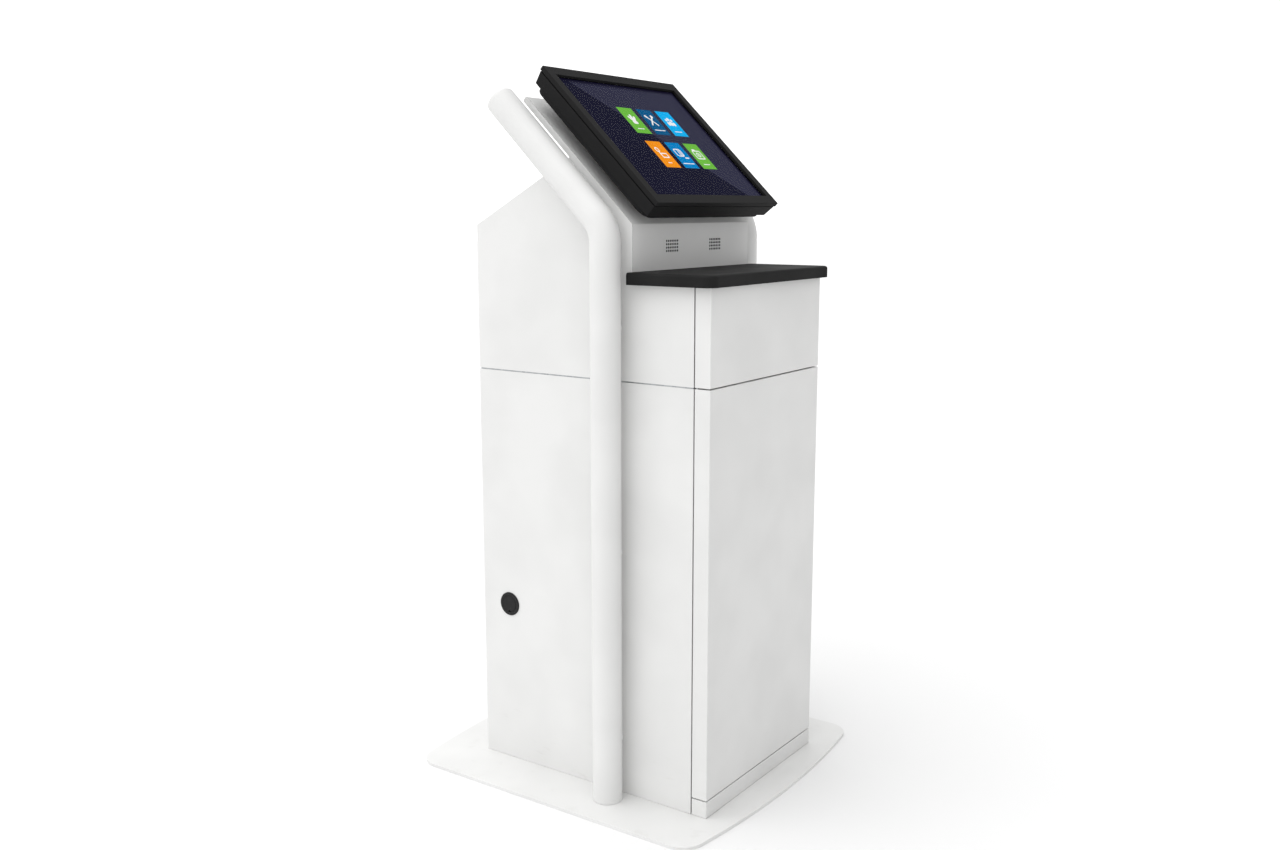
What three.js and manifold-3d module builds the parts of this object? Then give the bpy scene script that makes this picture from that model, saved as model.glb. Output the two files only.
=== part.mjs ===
// Floor-standing touchscreen kiosk: a sheet-steel cabinet on a bowed base plate, carried between
// two bent tubes that lean back at the top and hold a monitor over a black worktop.
// Units are millimetres. X runs across the kiosk, Y from front to back, Z up.
// The origin is on the floor, under the middle of the base plate.
import * as THREE from 'three';
import { mergeVertices } from 'three/addons/utils/BufferGeometryUtils.js';
import Module from 'manifold-3d';

const wasm = await Module();
wasm.setup();

// ---- Driving dimensions ----
const gap = 0.3; // clearance between pieces that touch
const past = 1; // how far a cutter runs past a face, and a joined solid into its partner
const seam = 2.4; // open joint between neighbouring outer panels
const sheet = 1.5; // steel sheet of the cabinet
const slant = THREE.MathUtils.degToRad(46); // lean of the tubes, neck and monitor, from vertical

const plateThickness = 6;
const plateSideMargin = 52.7; // from a tube to the plate's straight side
const plateRearMargin = 107.2; // from the cabinet's rear to the plate's rearmost point
const plateBow = 27; // how far the front and rear edges bulge
const plateCorner = 46;
const anchorHoleRadius = 5;
const cableHoleRadius = 30;

const cabinetWidth = 400;
const cabinetDepth = 523.8;
const cabinetSetback = 60; // from the plate's foremost point to the cabinet's front
const trayDepth = 32.5; // side returns of the door, plinth and upper cover, to mid seam
const plinthHeight = 32.6; // to mid seam
const waistHeight = 783.8; // mid seam between lower and upper cabinet
const upperCoverHeight = 173.2; // from that seam to the worktop's underside
const kneeRise = 100.3; // top of the vertical rear above the worktop's underside
const roofRise = THREE.MathUtils.degToRad(28.2);
const stopFlange = 20; // inward flange that the door closes against

const tubeRadius = 27.5;
const tubeWall = 2;
const tubeGap = 9.3; // between a tube and the cabinet side
const tubeY = 194; // tube axis behind the cabinet front
const tubeKneeDrop = 1.8; // where the two straight runs would meet, below the rear's top
const tubeBendRadius = 62;
const tubeArm = 328; // slanted run, from that meeting point to the tip
const tubeTipFillet = 7;
const spacerRadius = 10;
const lowSpacerHeights = [110, 470]; // on the upright run
const highSpacerDrop = 175.5; // third spacer, below the tube's knee
const armSpacerAt = 90; // on the slanted run

const shelfSideOverhang = 19.25; // past each side of the cabinet
const shelfThickness = 21.4;
const shelfOverhang = 13.4; // in front of the cabinet
const shelfCorner = 21;
const neckFront = 162.4; // front face of the upright fascia
const neckStandOff = 26; // slanted neck face in front of the tube axis plane
const neckThickness = 11;
const neckTop = 308; // along the slant
const grilleHole = 2.1;
const grillePitch = 6;
const grilleColumns = 7;
const grilleRows = 4;
const grilleOffset = 74; // from the middle of the kiosk
const grilleRise = 64; // above the worktop's underside

const bezelSideWidth = 19.15;
const bezelEndWidth = 21.2; // above and below the screen
const headAlong = 135.5; // middle of the head along the slant
const headStandOff = 95; // front face in front of the tube axis plane
const bezelThickness = 8.7;
const openingWidth = 381.5;
const openingHeight = 304.1;
const glassRecess = 5;
const glassThickness = 3;
const glassLap = 5.5; // glass hidden behind the bezel on each side
const shadowGap = 2.3; // between bezel and housing
const housingInset = 1.4; // housing behind the bezel's edge
const housingDepth = 25;
const housingTaper = 4.2;
const backBoxDepth = 9;
const backBoxInset = 2;
const backBoxCorner = 25;
const vesaPitch = 100;
const vesaScrewRadius = 2;
const mountMargin = 15; // monitor mount past its screws

const lockHeight = 430;
const lockRadius = 8;
const grommetRadius = 23.3;
const grommetBodyRadius = 19;
const grommetFromRear = 65.8;
const grommetHeight = 320.5;
const equipmentShelfHeight = 430;
const fanSize = 80;
const fanDepth = 25;
const fanDrop = 133.8; // fan's middle below the waist seam

// ---- Derived places, in the cabinet's frame (y from its front, z from the plate) ----
const half = cabinetWidth / 2;
const inner = half - sheet - gap; // half width between the side plates
const rear = cabinetDepth;
const openJoint = seam / 2;
const tubeX = half + tubeGap + tubeRadius;
const plateWidth = 2 * (tubeX + tubeRadius + plateSideMargin);
const plateDepth = cabinetSetback + cabinetDepth + plateRearMargin;
const shelfWidth = cabinetWidth + 2 * shelfSideOverhang;
const shelfUnderside = waistHeight + upperCoverHeight;
const kneeHeight = shelfUnderside + kneeRise;
const tubeKneeHeight = kneeHeight - tubeKneeDrop;
const grilleHeight = shelfUnderside + grilleRise;
const fanHeight = waistHeight - fanDrop;
const grommetY = rear - grommetFromRear;
const headWidth = openingWidth + 2 * bezelSideWidth;
const headHeight = openingHeight + 2 * bezelEndWidth;
const slantSin = Math.sin(slant);
const slantCos = Math.cos(slant);

// A point given along the slant and forward of the tube axis plane.
function onSlant(along, forward) {
  return {
    y: tubeY + along * slantSin - forward * slantCos,
    z: tubeKneeHeight + along * slantCos + forward * slantSin,
  };
}

// ---- Solids ----
function toSolid(geometry) {
  const bare = geometry.clone();
  bare.deleteAttribute('normal');
  bare.deleteAttribute('uv');
  const merged = mergeVertices(bare, 1e-4);
  return new wasm.Manifold(new wasm.Mesh({
    numProp: 3,
    vertProperties: new Float32Array(merged.attributes.position.array),
    triVerts: new Uint32Array(merged.index.array),
  }));
}

function toGeometry(solid) {
  const mesh = solid.getMesh();
  const geometry = new THREE.BufferGeometry();
  geometry.setAttribute('position', new THREE.BufferAttribute(new Float32Array(mesh.vertProperties), 3));
  geometry.setIndex(new THREE.BufferAttribute(new Uint32Array(mesh.triVerts), 1));
  geometry.computeVertexNormals();
  return geometry;
}

function join(...geometries) {
  return toGeometry(geometries.map(toSolid).reduce((whole, next) => whole.add(next)));
}

function cut(geometry, ...tools) {
  return toGeometry(tools.map(toSolid).reduce((whole, tool) => whole.subtract(tool), toSolid(geometry)));
}

// A block between two corners.
function block(x0, x1, y0, y1, z0, z1) {
  const geometry = new THREE.BoxGeometry(x1 - x0, y1 - y0, z1 - z0);
  return geometry.translate((x0 + x1) / 2, (y0 + y1) / 2, (z0 + z1) / 2);
}

// A round bar from a start point along one axis.
function bar(radius, length, axis, x, y, z, sides = 24) {
  const geometry = new THREE.CylinderGeometry(radius, radius, length, sides);
  geometry.translate(0, length / 2, 0);
  if (axis === 'x') geometry.rotateZ(-Math.PI / 2);
  if (axis === 'z') geometry.rotateX(Math.PI / 2);
  return geometry.translate(x, y, z);
}

// A turned piece: radius and height pairs about Z.
function turned(profile, sides = 24) {
  const points = profile.map(([radius, height]) => new THREE.Vector2(radius, height));
  return new THREE.LatheGeometry(points, sides).rotateX(Math.PI / 2);
}

// An outline in X and Y, raised along Z.
function raised(shape, height, curveSegments = 8) {
  return new THREE.ExtrudeGeometry(shape, { depth: height, bevelEnabled: false, curveSegments });
}

// An outline in Y and Z, given as points, spread along X.
function spread(points, x0, x1) {
  const shape = new THREE.Shape(points.map(({ y, z }) => new THREE.Vector2(y, z)));
  const geometry = new THREE.ExtrudeGeometry(shape, { depth: x1 - x0, bevelEnabled: false });
  // ExtrudeGeometry's x, y, z become Y, Z, X
  geometry.applyMatrix4(new THREE.Matrix4().set(0, 0, 1, 0, 1, 0, 0, 0, 0, 1, 0, 0, 0, 0, 0, 1));
  return geometry.translate(x0, 0, 0);
}

function roundedRectangle(width, height, radius) {
  const w = width / 2;
  const h = height / 2;
  const shape = new THREE.Shape();
  shape.moveTo(-w + radius, -h);
  shape.lineTo(w - radius, -h);
  shape.absarc(w - radius, -h + radius, radius, -Math.PI / 2, 0);
  shape.lineTo(w, h - radius);
  shape.absarc(w - radius, h - radius, radius, 0, Math.PI / 2);
  shape.lineTo(-w + radius, h);
  shape.absarc(-w + radius, h - radius, radius, Math.PI / 2, Math.PI);
  shape.lineTo(-w, -h + radius);
  shape.absarc(-w + radius, -h + radius, radius, Math.PI, 1.5 * Math.PI);
  return shape;
}

// ---- Finishes ----
function finish(color, roughness, metalness) {
  return new THREE.MeshStandardMaterial({ color, roughness, metalness });
}
const white = finish('#f4f4f3', 0.5, 0);
const black = finish('#2c2c2c', 0.55, 0);
const plastic = finish('#262626', 0.6, 0);
const steel = finish('#a9abad', 0.35, 1);
const glass = finish('#15151c', 0.08, 0);
const panelGrey = finish('#3a3b3d', 0.5, 0);
const board = finish('#1f5d38', 0.5, 0);

const kiosk = new THREE.Group();
const cabinet = new THREE.Group();
cabinet.position.set(0, -plateDepth / 2 + cabinetSetback, plateThickness);
kiosk.add(cabinet);
// Leaning frame: z runs up the slant, -y faces the user, the origin is the tubes' knee.
const lean = new THREE.Group();
lean.position.set(0, tubeY, tubeKneeHeight);
lean.rotation.x = -slant;
cabinet.add(lean);

function add(name, geometry, material, parent = cabinet) {
  const mesh = new THREE.Mesh(geometry, material);
  mesh.name = name;
  parent.add(mesh);
  return mesh;
}

// ---- Base plate: bowed front and rear, straight sides, round corners ----
const floorBoltX = half - sheet - 18;
const floorBoltFront = 110;
const floorBoltRear = rear - 90;
const floorBolts = [
  ['front_left', -floorBoltX, floorBoltFront],
  ['front_right', floorBoltX, floorBoltFront],
  ['rear_left', -floorBoltX, floorBoltRear],
  ['rear_right', floorBoltX, floorBoltRear],
];

function basePlate() {
  const w = plateWidth / 2;
  const d = plateDepth / 2;
  const bowRadius = (w * w + plateBow * plateBow) / (2 * plateBow);
  const centre = d - bowRadius;
  // the corner circle touches the straight side and the bowed edge
  const cornerX = w - plateCorner;
  const cornerY = centre + Math.sqrt((bowRadius - plateCorner) ** 2 - cornerX ** 2);
  const turn = Math.atan2(cornerY - centre, cornerX);
  const shape = new THREE.Shape();
  shape.moveTo(w, -cornerY);
  shape.lineTo(w, cornerY);
  shape.absarc(cornerX, cornerY, plateCorner, 0, turn);
  shape.absarc(0, centre, bowRadius, turn, Math.PI - turn);
  shape.absarc(-cornerX, cornerY, plateCorner, Math.PI - turn, Math.PI);
  shape.lineTo(-w, -cornerY);
  shape.absarc(-cornerX, -cornerY, plateCorner, Math.PI, Math.PI + turn);
  shape.absarc(0, -centre, bowRadius, Math.PI + turn, 2 * Math.PI - turn);
  shape.absarc(cornerX, -cornerY, plateCorner, -turn, 0);
  const cabinetY = cabinet.position.y;
  for (const [, x, y] of floorBolts) {
    shape.holes.push(new THREE.Path().absarc(x, y + cabinetY, anchorHoleRadius, 0, 2 * Math.PI));
  }
  shape.holes.push(new THREE.Path().absarc(0, cabinetY + cabinetDepth / 2, cableHoleRadius, 0, 2 * Math.PI));
  return raised(shape, plateThickness, 12);
}
add('base_plate', basePlate(), white, kiosk);

// ---- Side tubes: upright, bent back, closed at the tip ----
// The centre line has its own stations, so the straight runs need only one step each.
class BentLine extends THREE.Curve {
  constructor(start, arm) {
    super();
    const tangentLength = tubeBendRadius * Math.tan(slant / 2);
    const turns = 9;
    this.stations = [{ y: 0, z: start, angle: 0 }];
    for (let i = 0; i <= turns; i += 1) {
      const angle = slant * i / turns;
      const y = tubeBendRadius * (1 - Math.cos(angle));
      const z = tubeKneeHeight - tangentLength + tubeBendRadius * Math.sin(angle);
      this.stations.push({ y, z, angle });
    }
    this.stations.push({ y: arm * slantSin, z: tubeKneeHeight + arm * slantCos, angle: slant });
  }

  get steps() {
    return this.stations.length - 1;
  }

  getPoint(t) {
    const { y, z } = this.stations[Math.round(t * this.steps)];
    return new THREE.Vector3(0, y, z);
  }

  getTangent(t) {
    const { angle } = this.stations[Math.round(t * this.steps)];
    return new THREE.Vector3(0, Math.sin(angle), Math.cos(angle));
  }

  getPointAt(u) {
    return this.getPoint(u);
  }

  getTangentAt(u) {
    return this.getTangent(u);
  }
}

function sweptCircle(radius, line) {
  const circle = new THREE.Shape().absarc(0, 0, radius, 0, 2 * Math.PI);
  return new THREE.ExtrudeGeometry(circle, { steps: line.steps, extrudePath: line, curveSegments: 12 });
}

function sideTube() {
  const tip = [[0, -past], [tubeRadius, -past], [tubeRadius, 0]];
  const filletSteps = 4;
  for (let i = 1; i <= filletSteps; i += 1) {
    const angle = Math.PI / 2 * i / filletSteps;
    const inset = tubeTipFillet * (1 - Math.cos(angle));
    tip.push([tubeRadius - inset, tubeTipFillet * Math.sin(angle)]);
  }
  tip.push([0, tubeTipFillet]);
  const straightArm = tubeArm - tubeTipFillet;
  const cap = turned(tip);
  cap.rotateX(-slant);
  cap.translate(0, straightArm * slantSin, tubeKneeHeight + straightArm * slantCos);
  const outside = join(sweptCircle(tubeRadius, new BentLine(gap, straightArm)), cap);
  return cut(outside, sweptCircle(tubeRadius - tubeWall, new BentLine(gap - past, straightArm)));
}

const sides = [['left', -1], ['right', 1]];
for (const [side, sign] of sides) {
  add(`${side}_tube`, sideTube(), white).position.set(sign * tubeX, tubeY, 0);
  // spacers sit between tube and cabinet side; a hollow end clears the tube's round wall
  const reach = Math.sqrt(tubeRadius ** 2 - spacerRadius ** 2);
  const spacerLength = tubeX - reach - half - 2 * gap;
  const spacer = () => {
    const body = bar(spacerRadius, spacerLength, 'x', 0, 0, 0);
    const seat = bar(tubeRadius + gap, 4 * spacerRadius, 'z', tubeX - half - gap, 0, -2 * spacerRadius, 48);
    return cut(body, seat);
  };
  [...lowSpacerHeights, tubeKneeHeight - highSpacerDrop].forEach((height, i) => {
    const mesh = add(`${side}_tube_spacer_${i + 1}`, spacer(), white);
    mesh.position.set(sign * (half + gap), tubeY, height);
    if (sign < 0) mesh.rotation.z = Math.PI;
  });
  const armSpacer = add(`${side}_arm_spacer`, spacer(), white, lean);
  armSpacer.position.set(sign * (half + gap), 0, armSpacerAt);
  if (sign < 0) armSpacer.rotation.z = Math.PI;
}

// ---- Lower cabinet ----
const lowerTop = waistHeight - openJoint;
const sideFront = trayDepth + openJoint;

// A side plate's stop flange, turned inwards along its front edge.
function stopAt(sign, z0, z1) {
  const inside = sign * (half - sheet - stopFlange);
  const outside = sign * (half - sheet / 2);
  return block(Math.min(inside, outside), Math.max(inside, outside), sideFront, sideFront + sheet, z0, z1);
}

const lockY = trayDepth / 2;
const camReach = 24;
const camTip = 5;

const angleLeg = 30;
const angleWall = 3;
const angleStart = 60;
const angleEnd = rear - 45;
for (const [side, sign] of sides) {
  const x0 = sign < 0 ? -half : half - sheet;
  let plate = join(block(x0, x0 + sheet, sideFront, rear, gap, lowerTop), stopAt(sign, gap, lowerTop));
  if (sign < 0) {
    plate = cut(plate, bar(grommetBodyRadius + gap, 4 * sheet, 'x', x0 - sheet, grommetY, grommetHeight));
  } else {
    // notch that lets the lock's hook swing in behind the flange
    const notchLow = lockHeight + camTip;
    plate = cut(plate, block(
      half - sheet - stopFlange - past, half - sheet - gap, sideFront - past, sideFront + sheet + past,
      notchLow, notchLow + camReach,
    ));
  }
  add(`lower_side_${side}`, plate, white);

  // angle that ties the side to the base plate
  const profile = [
    { x: inner, z: gap }, { x: inner, z: angleLeg }, { x: inner - angleWall, z: angleLeg },
    { x: inner - angleWall, z: gap + angleWall }, { x: inner - angleLeg, z: gap + angleWall },
    { x: inner - angleLeg, z: gap },
  ];
  const shape = new THREE.Shape(profile.map(({ x, z }) => new THREE.Vector2(sign * x, z)));
  let angle = new THREE.ExtrudeGeometry(shape, { depth: angleEnd - angleStart, bevelEnabled: false });
  angle.rotateX(Math.PI / 2);
  angle.translate(0, angleEnd, 0);
  for (const [, x, y] of floorBolts) {
    if (x * sign > 0) angle = cut(angle, bar(anchorHoleRadius, angleLeg, 'z', x, y, -past, 16));
  }
  add(`floor_angle_${side}`, angle, steel);
}

const boltRadius = 4;
const boltHead = 6.5;
const boltHeadHeight = 5;
for (const [corner, x, y] of floorBolts) {
  const headSeat = gap + angleWall + gap;
  const shank = headSeat + plateThickness - past;
  const bolt = turned([
    [0, -shank], [boltRadius, -shank], [boltRadius, 0], [boltHead, 0], [boltHead, boltHeadHeight],
    [0, boltHeadHeight],
  ], 12);
  add(`floor_bolt_${corner}`, bolt, steel).position.set(x, y, headSeat);
}

// ---- Lower rear panel with a guarded fan opening and an air inlet ----
const fanWall = 4;
const fanHole = fanSize / 2 - fanWall;
const inletSlots = 6;
const inletPitch = 14;
const inletLow = 130;
const inletWidth = 120;
const inletHeight = 5;
const guardSlots = 7;
const guardOpenShare = 0.6; // of each guard slot's pitch
function lowerRearPanel() {
  const panel = block(-inner, inner, rear - sheet, rear, gap, lowerTop);
  const slot = (reach, low, height) => (
    block(-reach, reach, rear - sheet - past, rear + past, low, low + height)
  );
  const slots = [];
  for (let i = 0; i < inletSlots; i += 1) {
    slots.push(slot(inletWidth / 2, inletLow + i * inletPitch, inletHeight));
  }
  // fan opening: horizontal slots that end on the fan's circle
  const pitch = 2 * fanHole / guardSlots;
  for (let i = 0; i < guardSlots; i += 1) {
    const middle = -fanHole + pitch * (i + 0.5);
    const height = pitch * guardOpenShare;
    slots.push(slot(Math.sqrt(fanHole ** 2 - middle ** 2), fanHeight + middle - height / 2, height));
  }
  return cut(panel, ...slots);
}
add('lower_rear_panel', lowerRearPanel(), white);

const fanFrame = cut(
  block(-fanSize / 2, fanSize / 2, -fanDepth, 0, -fanSize / 2, fanSize / 2),
  bar(fanHole, fanDepth + 2 * past, 'y', 0, -fanDepth - past, 0, 32),
);
const fanStrut = 4;
const fanBossRadius = 14;
const strut = block(-fanHole - past, fanHole + past, -fanStrut, -gap, -fanStrut / 2, fanStrut / 2);
const fanBackBoss = bar(fanBossRadius, fanStrut - gap, 'y', 0, -fanStrut, 0);
add('fan_frame', join(fanFrame, strut, fanBackBoss), plastic)
  .position.set(0, rear - sheet - gap, fanHeight);

const bladeCount = 7;
const bladeSheet = 1.6;
const bladeChord = 17;
const bladeTwist = THREE.MathUtils.degToRad(42);
const bladeTipClearance = 2;
const fanRunningGap = 1;
const hubRadius = fanBossRadius + 1;
const hubLength = 18;
function fanRotor() {
  const bladeStart = hubRadius - past;
  const bladeLength = fanHole - bladeTipClearance - bladeStart;
  const pieces = [bar(hubRadius, hubLength, 'y', 0, -hubLength, 0)];
  for (let i = 0; i < bladeCount; i += 1) {
    const blade = new THREE.BoxGeometry(bladeLength, bladeSheet, bladeChord);
    blade.rotateX(bladeTwist);
    blade.translate(bladeStart + bladeLength / 2, -hubLength / 2, 0);
    blade.rotateY(2 * Math.PI * i / bladeCount);
    pieces.push(blade);
  }
  return join(...pieces);
}
add('fan_rotor', fanRotor(), plastic)
  .position.set(0, rear - sheet - gap - fanStrut - fanRunningGap, fanHeight);

// ---- Waist frame that joins the two cabinets behind the horizontal seam ----
const waistBand = 28;
const waistRail = 20;
const waistFront = sideFront + sheet + gap;
const waistBack = rear - sheet - gap;
add('waist_frame', cut(
  block(-inner, inner, waistFront, waistBack, waistHeight - waistBand / 2, waistHeight + waistBand / 2),
  block(
    -inner + waistRail, inner - waistRail, waistFront + waistRail, waistBack - waistRail,
    waistHeight - waistBand, waistHeight + waistBand,
  ),
), steel);

// ---- Folded trays across the front: plinth, door and upper cover ----
const trayBack = trayDepth - openJoint;
const pivotRadius = 2;
const pivotInset = sheet + pivotRadius + 0.5; // pin's axis from the door's faces
const pivotX = -half + pivotInset;
const pivotY = trayDepth - pivotInset;

// A tray open at the back, with a pivot hole in each end that is asked for.
function tray(z0, z1, pivotHoles) {
  const shell = cut(
    block(-half, half, 0, trayBack, z0, z1),
    block(-half + sheet, half - sheet, sheet, trayBack + past, z0 + sheet, z1 - sheet),
  );
  const drills = pivotHoles.map((z) => (
    bar(pivotRadius + gap, 4 * sheet, 'z', pivotX, pivotY, z - 2 * sheet, 16)
  ));
  return cut(shell, ...drills);
}
const doorLow = plinthHeight + openJoint;
const doorHigh = lowerTop;
const coverLow = waistHeight + openJoint;
add('plinth_strip', tray(gap, plinthHeight - openJoint, [plinthHeight - openJoint - sheet / 2]), white);
add('upper_front_cover', tray(coverLow, shelfUnderside - gap, [coverLow + sheet / 2]), white);
const lockDrill = bar(lockRadius + gap, 4 * sheet, 'x', half - 2 * sheet, lockY, lockHeight);
add('front_door', cut(
  tray(doorLow, doorHigh, [doorLow + sheet / 2, doorHigh - sheet / 2]), lockDrill,
), white);

const pivotLength = 18;
const pivotTravel = seam + 2 * sheet;
add('door_pivot_lower', bar(pivotRadius, pivotLength, 'z', 0, 0, 0, 16), steel)
  .position.set(pivotX, pivotY, doorLow - pivotTravel);
add('door_pivot_upper', bar(pivotRadius, pivotLength, 'z', 0, 0, 0, 16), steel)
  .position.set(pivotX, pivotY, doorHigh + pivotTravel - pivotLength);

// ---- Hook-cam lock in the door's right return ----
const lockBody = 22;
const lockCollar = 2; // thickness of the collar, and how far it stands out from the body
const plugRadius = 4.8;
const keyWidth = 1.4;
const keyHeight = 6.4;
const keyDepth = 4;
const lockX = half + gap - lockBody;
const collarRadius = lockRadius + lockCollar;
const plugLength = lockBody + lockCollar;
const lockCase = turned([
  [plugRadius + gap, 0], [lockRadius, 0], [lockRadius, lockBody], [collarRadius, lockBody],
  [collarRadius, plugLength], [plugRadius + gap, plugLength], [plugRadius + gap, 0],
]);
lockCase.rotateY(Math.PI / 2);
add('lock_barrel', lockCase, steel).position.set(lockX, lockY, lockHeight);
const keySlot = block(
  plugLength - keyDepth, plugLength + past, -keyWidth / 2, keyWidth / 2, -keyHeight / 2, keyHeight / 2,
);
add('lock_plug', cut(bar(plugRadius, plugLength, 'x', 0, 0, 0), keySlot), steel)
  .position.set(lockX, lockY, lockHeight);
const camThickness = 2.5;
const camHalfWidth = 5;
const camTail = 7;
const hookLength = 11;
const camBack = -camThickness - gap;
const camEnd = camReach + camTip / 2;
const camPlate = block(camBack, -gap, -camHalfWidth, camHalfWidth, -camTail, camEnd);
const camHook = block(camBack, hookLength, -camTip / 2, camTip / 2, camReach - camTip / 2, camEnd);
add('lock_cam', join(camPlate, camHook), steel).position.set(lockX, lockY, lockHeight);

// ---- Cable grommet in the left side ----
const grommetFlange = 2.4;
const grommetEdge = 1; // chamfer round the flange
const grommetWall = 2.4;
const grommetNeck = 12;
const grommetSides = 40;
const grommetBore = grommetBodyRadius - grommetWall;
const grommetRing = turned([
  [grommetBore, -grommetNeck], [grommetBodyRadius, -grommetNeck], [grommetBodyRadius, gap],
  [grommetRadius, gap], [grommetRadius, grommetFlange - grommetEdge],
  [grommetRadius - grommetEdge, grommetFlange], [grommetBore, grommetFlange], [grommetBore, -grommetNeck],
], grommetSides);
grommetRing.rotateY(-Math.PI / 2);
add('cable_grommet', grommetRing, plastic).position.set(-half, grommetY, grommetHeight);
const capRadius = grommetBore - gap;
const capBack = -2;
const capEdge = 0.5;
const fingerNotchRadius = 3;
const grommetCap = turned([
  [0, capBack], [capRadius, capBack], [capRadius, grommetFlange - capEdge],
  [capRadius - capEdge, grommetFlange], [0, grommetFlange],
], grommetSides);
grommetCap.rotateY(-Math.PI / 2);
const fingerNotch = bar(fingerNotchRadius, 4 * grommetFlange, 'x', -2 * grommetFlange, 0, -capRadius, 12);
add('grommet_cap', cut(grommetCap, fingerNotch), plastic).position.set(-half, grommetY, grommetHeight);

// ---- Equipment inside the lower cabinet ----
const trayFront = 70;
const trayRear = rear - 53.8;
const trayLip = 22;
const trayHalf = inner - gap;
add('equipment_shelf', cut(
  block(-trayHalf, trayHalf, trayFront, trayRear, equipmentShelfHeight - trayLip, equipmentShelfHeight),
  block(
    -trayHalf + sheet, trayHalf - sheet, trayFront - past, trayRear + past,
    equipmentShelfHeight - trayLip - past, equipmentShelfHeight - sheet,
  ),
), steel);

const pcSize = 182;
const pcHeight = 42;
const pcCorner = 8;
const pcFront = 130;
const pcFloor = equipmentShelfHeight + gap;
const ventCount = 8;
const ventPitch = 11;
const ventWidth = 4;
const ventDepth = 3;
const ventStart = -60;
const ventMargin = 10; // above and below the vents
const buttonRadius = 5;
const buttonX = 62;
const buttonWellDepth = 6;
const buttonTravelRoom = 2; // behind the button, more than it travels
const buttonProud = 1.8;
const pcMiddle = pcFloor + pcHeight / 2;
const pcBody = raised(roundedRectangle(pcSize, pcSize, pcCorner), pcHeight, 4);
pcBody.translate(0, pcFront + pcSize / 2, pcFloor);
const pcVents = [];
for (let i = 0; i < ventCount; i += 1) {
  const x = ventStart + i * ventPitch;
  pcVents.push(block(
    x, x + ventWidth, pcFront - past, pcFront + ventDepth, pcFloor + ventMargin,
    pcFloor + pcHeight - ventMargin,
  ));
}
const buttonWell = bar(
  buttonRadius + gap, buttonWellDepth + past, 'y', buttonX, pcFront - past, pcMiddle, 20,
);
add('mini_pc', cut(pcBody, buttonWell, ...pcVents), plastic);
const buttonLength = buttonWellDepth - buttonTravelRoom + buttonProud;
add('pc_power_button', bar(buttonRadius, buttonLength, 'y', 0, 0, 0, 20), steel)
  .position.set(buttonX, pcFront - buttonProud, pcMiddle);

const stripSideRoom = 18.2; // from each end to the floor angle
const stripDepth = 52;
const stripHeight = 40;
const stripFromRear = 113.8;
const socketPitch = 56;
const socketRadius = 19;
const socketDepth = 10;
const socketEndRoom = 34; // from the strip's end to the first socket's middle
const rockerWidth = 16;
const rockerLength = 24;
const rockerEndRoom = 24; // from the strip's end to the rocker's middle
const rockerWellRoom = 1;
const rockerWellDepth = 14;
const stripHalf = inner - angleLeg - stripSideRoom;
const stripY = rear - stripFromRear;
const stripTop = gap + stripHeight;
const socketCount = Math.floor((2 * stripHalf - socketEndRoom - 2 * rockerEndRoom) / socketPitch) + 1;
const rockerX = stripHalf - rockerEndRoom;
const wellHalfWidth = rockerWidth / 2 + rockerWellRoom;
const wellHalfLength = rockerLength / 2 + rockerWellRoom;
const stripCuts = [];
for (let i = 0; i < socketCount; i += 1) {
  const x = -stripHalf + socketEndRoom + i * socketPitch;
  stripCuts.push(bar(socketRadius, socketDepth + past, 'z', x, stripY, stripTop - socketDepth, 20));
}
stripCuts.push(block(
  rockerX - wellHalfWidth, rockerX + wellHalfWidth, stripY - wellHalfLength, stripY + wellHalfLength,
  stripTop - rockerWellDepth, stripTop + past,
));
add('power_strip', cut(block(
  -stripHalf, stripHalf, stripY - stripDepth / 2, stripY + stripDepth / 2, gap, stripTop,
), ...stripCuts), plastic);
// the rocker is a shallow V, thicker where it pivots
const rockerTilt = THREE.MathUtils.degToRad(7);
const rockerPivotDrop = 3; // below the strip's top
const rockerEndLow = -2;
const rockerMiddleLow = -6;
const rockerEndHigh = 3.4;
const rockerMiddleHigh = 1.2;
const rockerHalf = rockerLength / 2;
const rocker = spread([
  { y: -rockerHalf, z: rockerEndLow }, { y: 0, z: rockerMiddleLow }, { y: rockerHalf, z: rockerEndLow },
  { y: rockerHalf, z: rockerEndHigh }, { y: 0, z: rockerMiddleHigh }, { y: -rockerHalf, z: rockerEndHigh },
], -rockerWidth / 2, rockerWidth / 2);
const rockerMesh = add('power_rocker', rocker, plastic);
rockerMesh.position.set(rockerX, stripY, stripTop - rockerPivotDrop);
rockerMesh.rotation.x = -rockerTilt;

// ---- Upper cabinet: side plates that carry on as arms behind the monitor ----
const crease = (neckFront - tubeY + neckStandOff * slantCos) / slantSin; // along the slant
const upperLow = waistHeight + openJoint;
const armBack = neckStandOff - neckThickness;
// where the roof line meets the back of the arms
const roofTan = Math.tan(roofRise);
const armStart = onSlant(0, armBack);
const apexAlong = (kneeHeight + (rear - armStart.y) * roofTan - armStart.z) / (slantCos + slantSin * roofTan);
const apex = onSlant(apexAlong, armBack);
const knee = { y: rear, z: kneeHeight };
for (const [side, sign] of sides) {
  const x0 = sign < 0 ? -half : half - sheet;
  const outline = [
    { y: sideFront, z: upperLow },
    { y: rear, z: upperLow },
    knee,
    apex,
    onSlant(neckTop, armBack),
    onSlant(neckTop, neckStandOff),
    onSlant(crease, neckStandOff),
    { y: neckFront, z: shelfUnderside - gap },
    { y: sideFront, z: shelfUnderside - gap },
  ];
  const plate = join(spread(outline, x0, x0 + sheet), stopAt(sign, upperLow, shelfUnderside - gap));
  add(`upper_side_${side}`, plate, white);
}
add('upper_rear_panel', block(-inner, inner, rear - sheet, rear, upperLow, kneeHeight - sheet), white);

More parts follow.
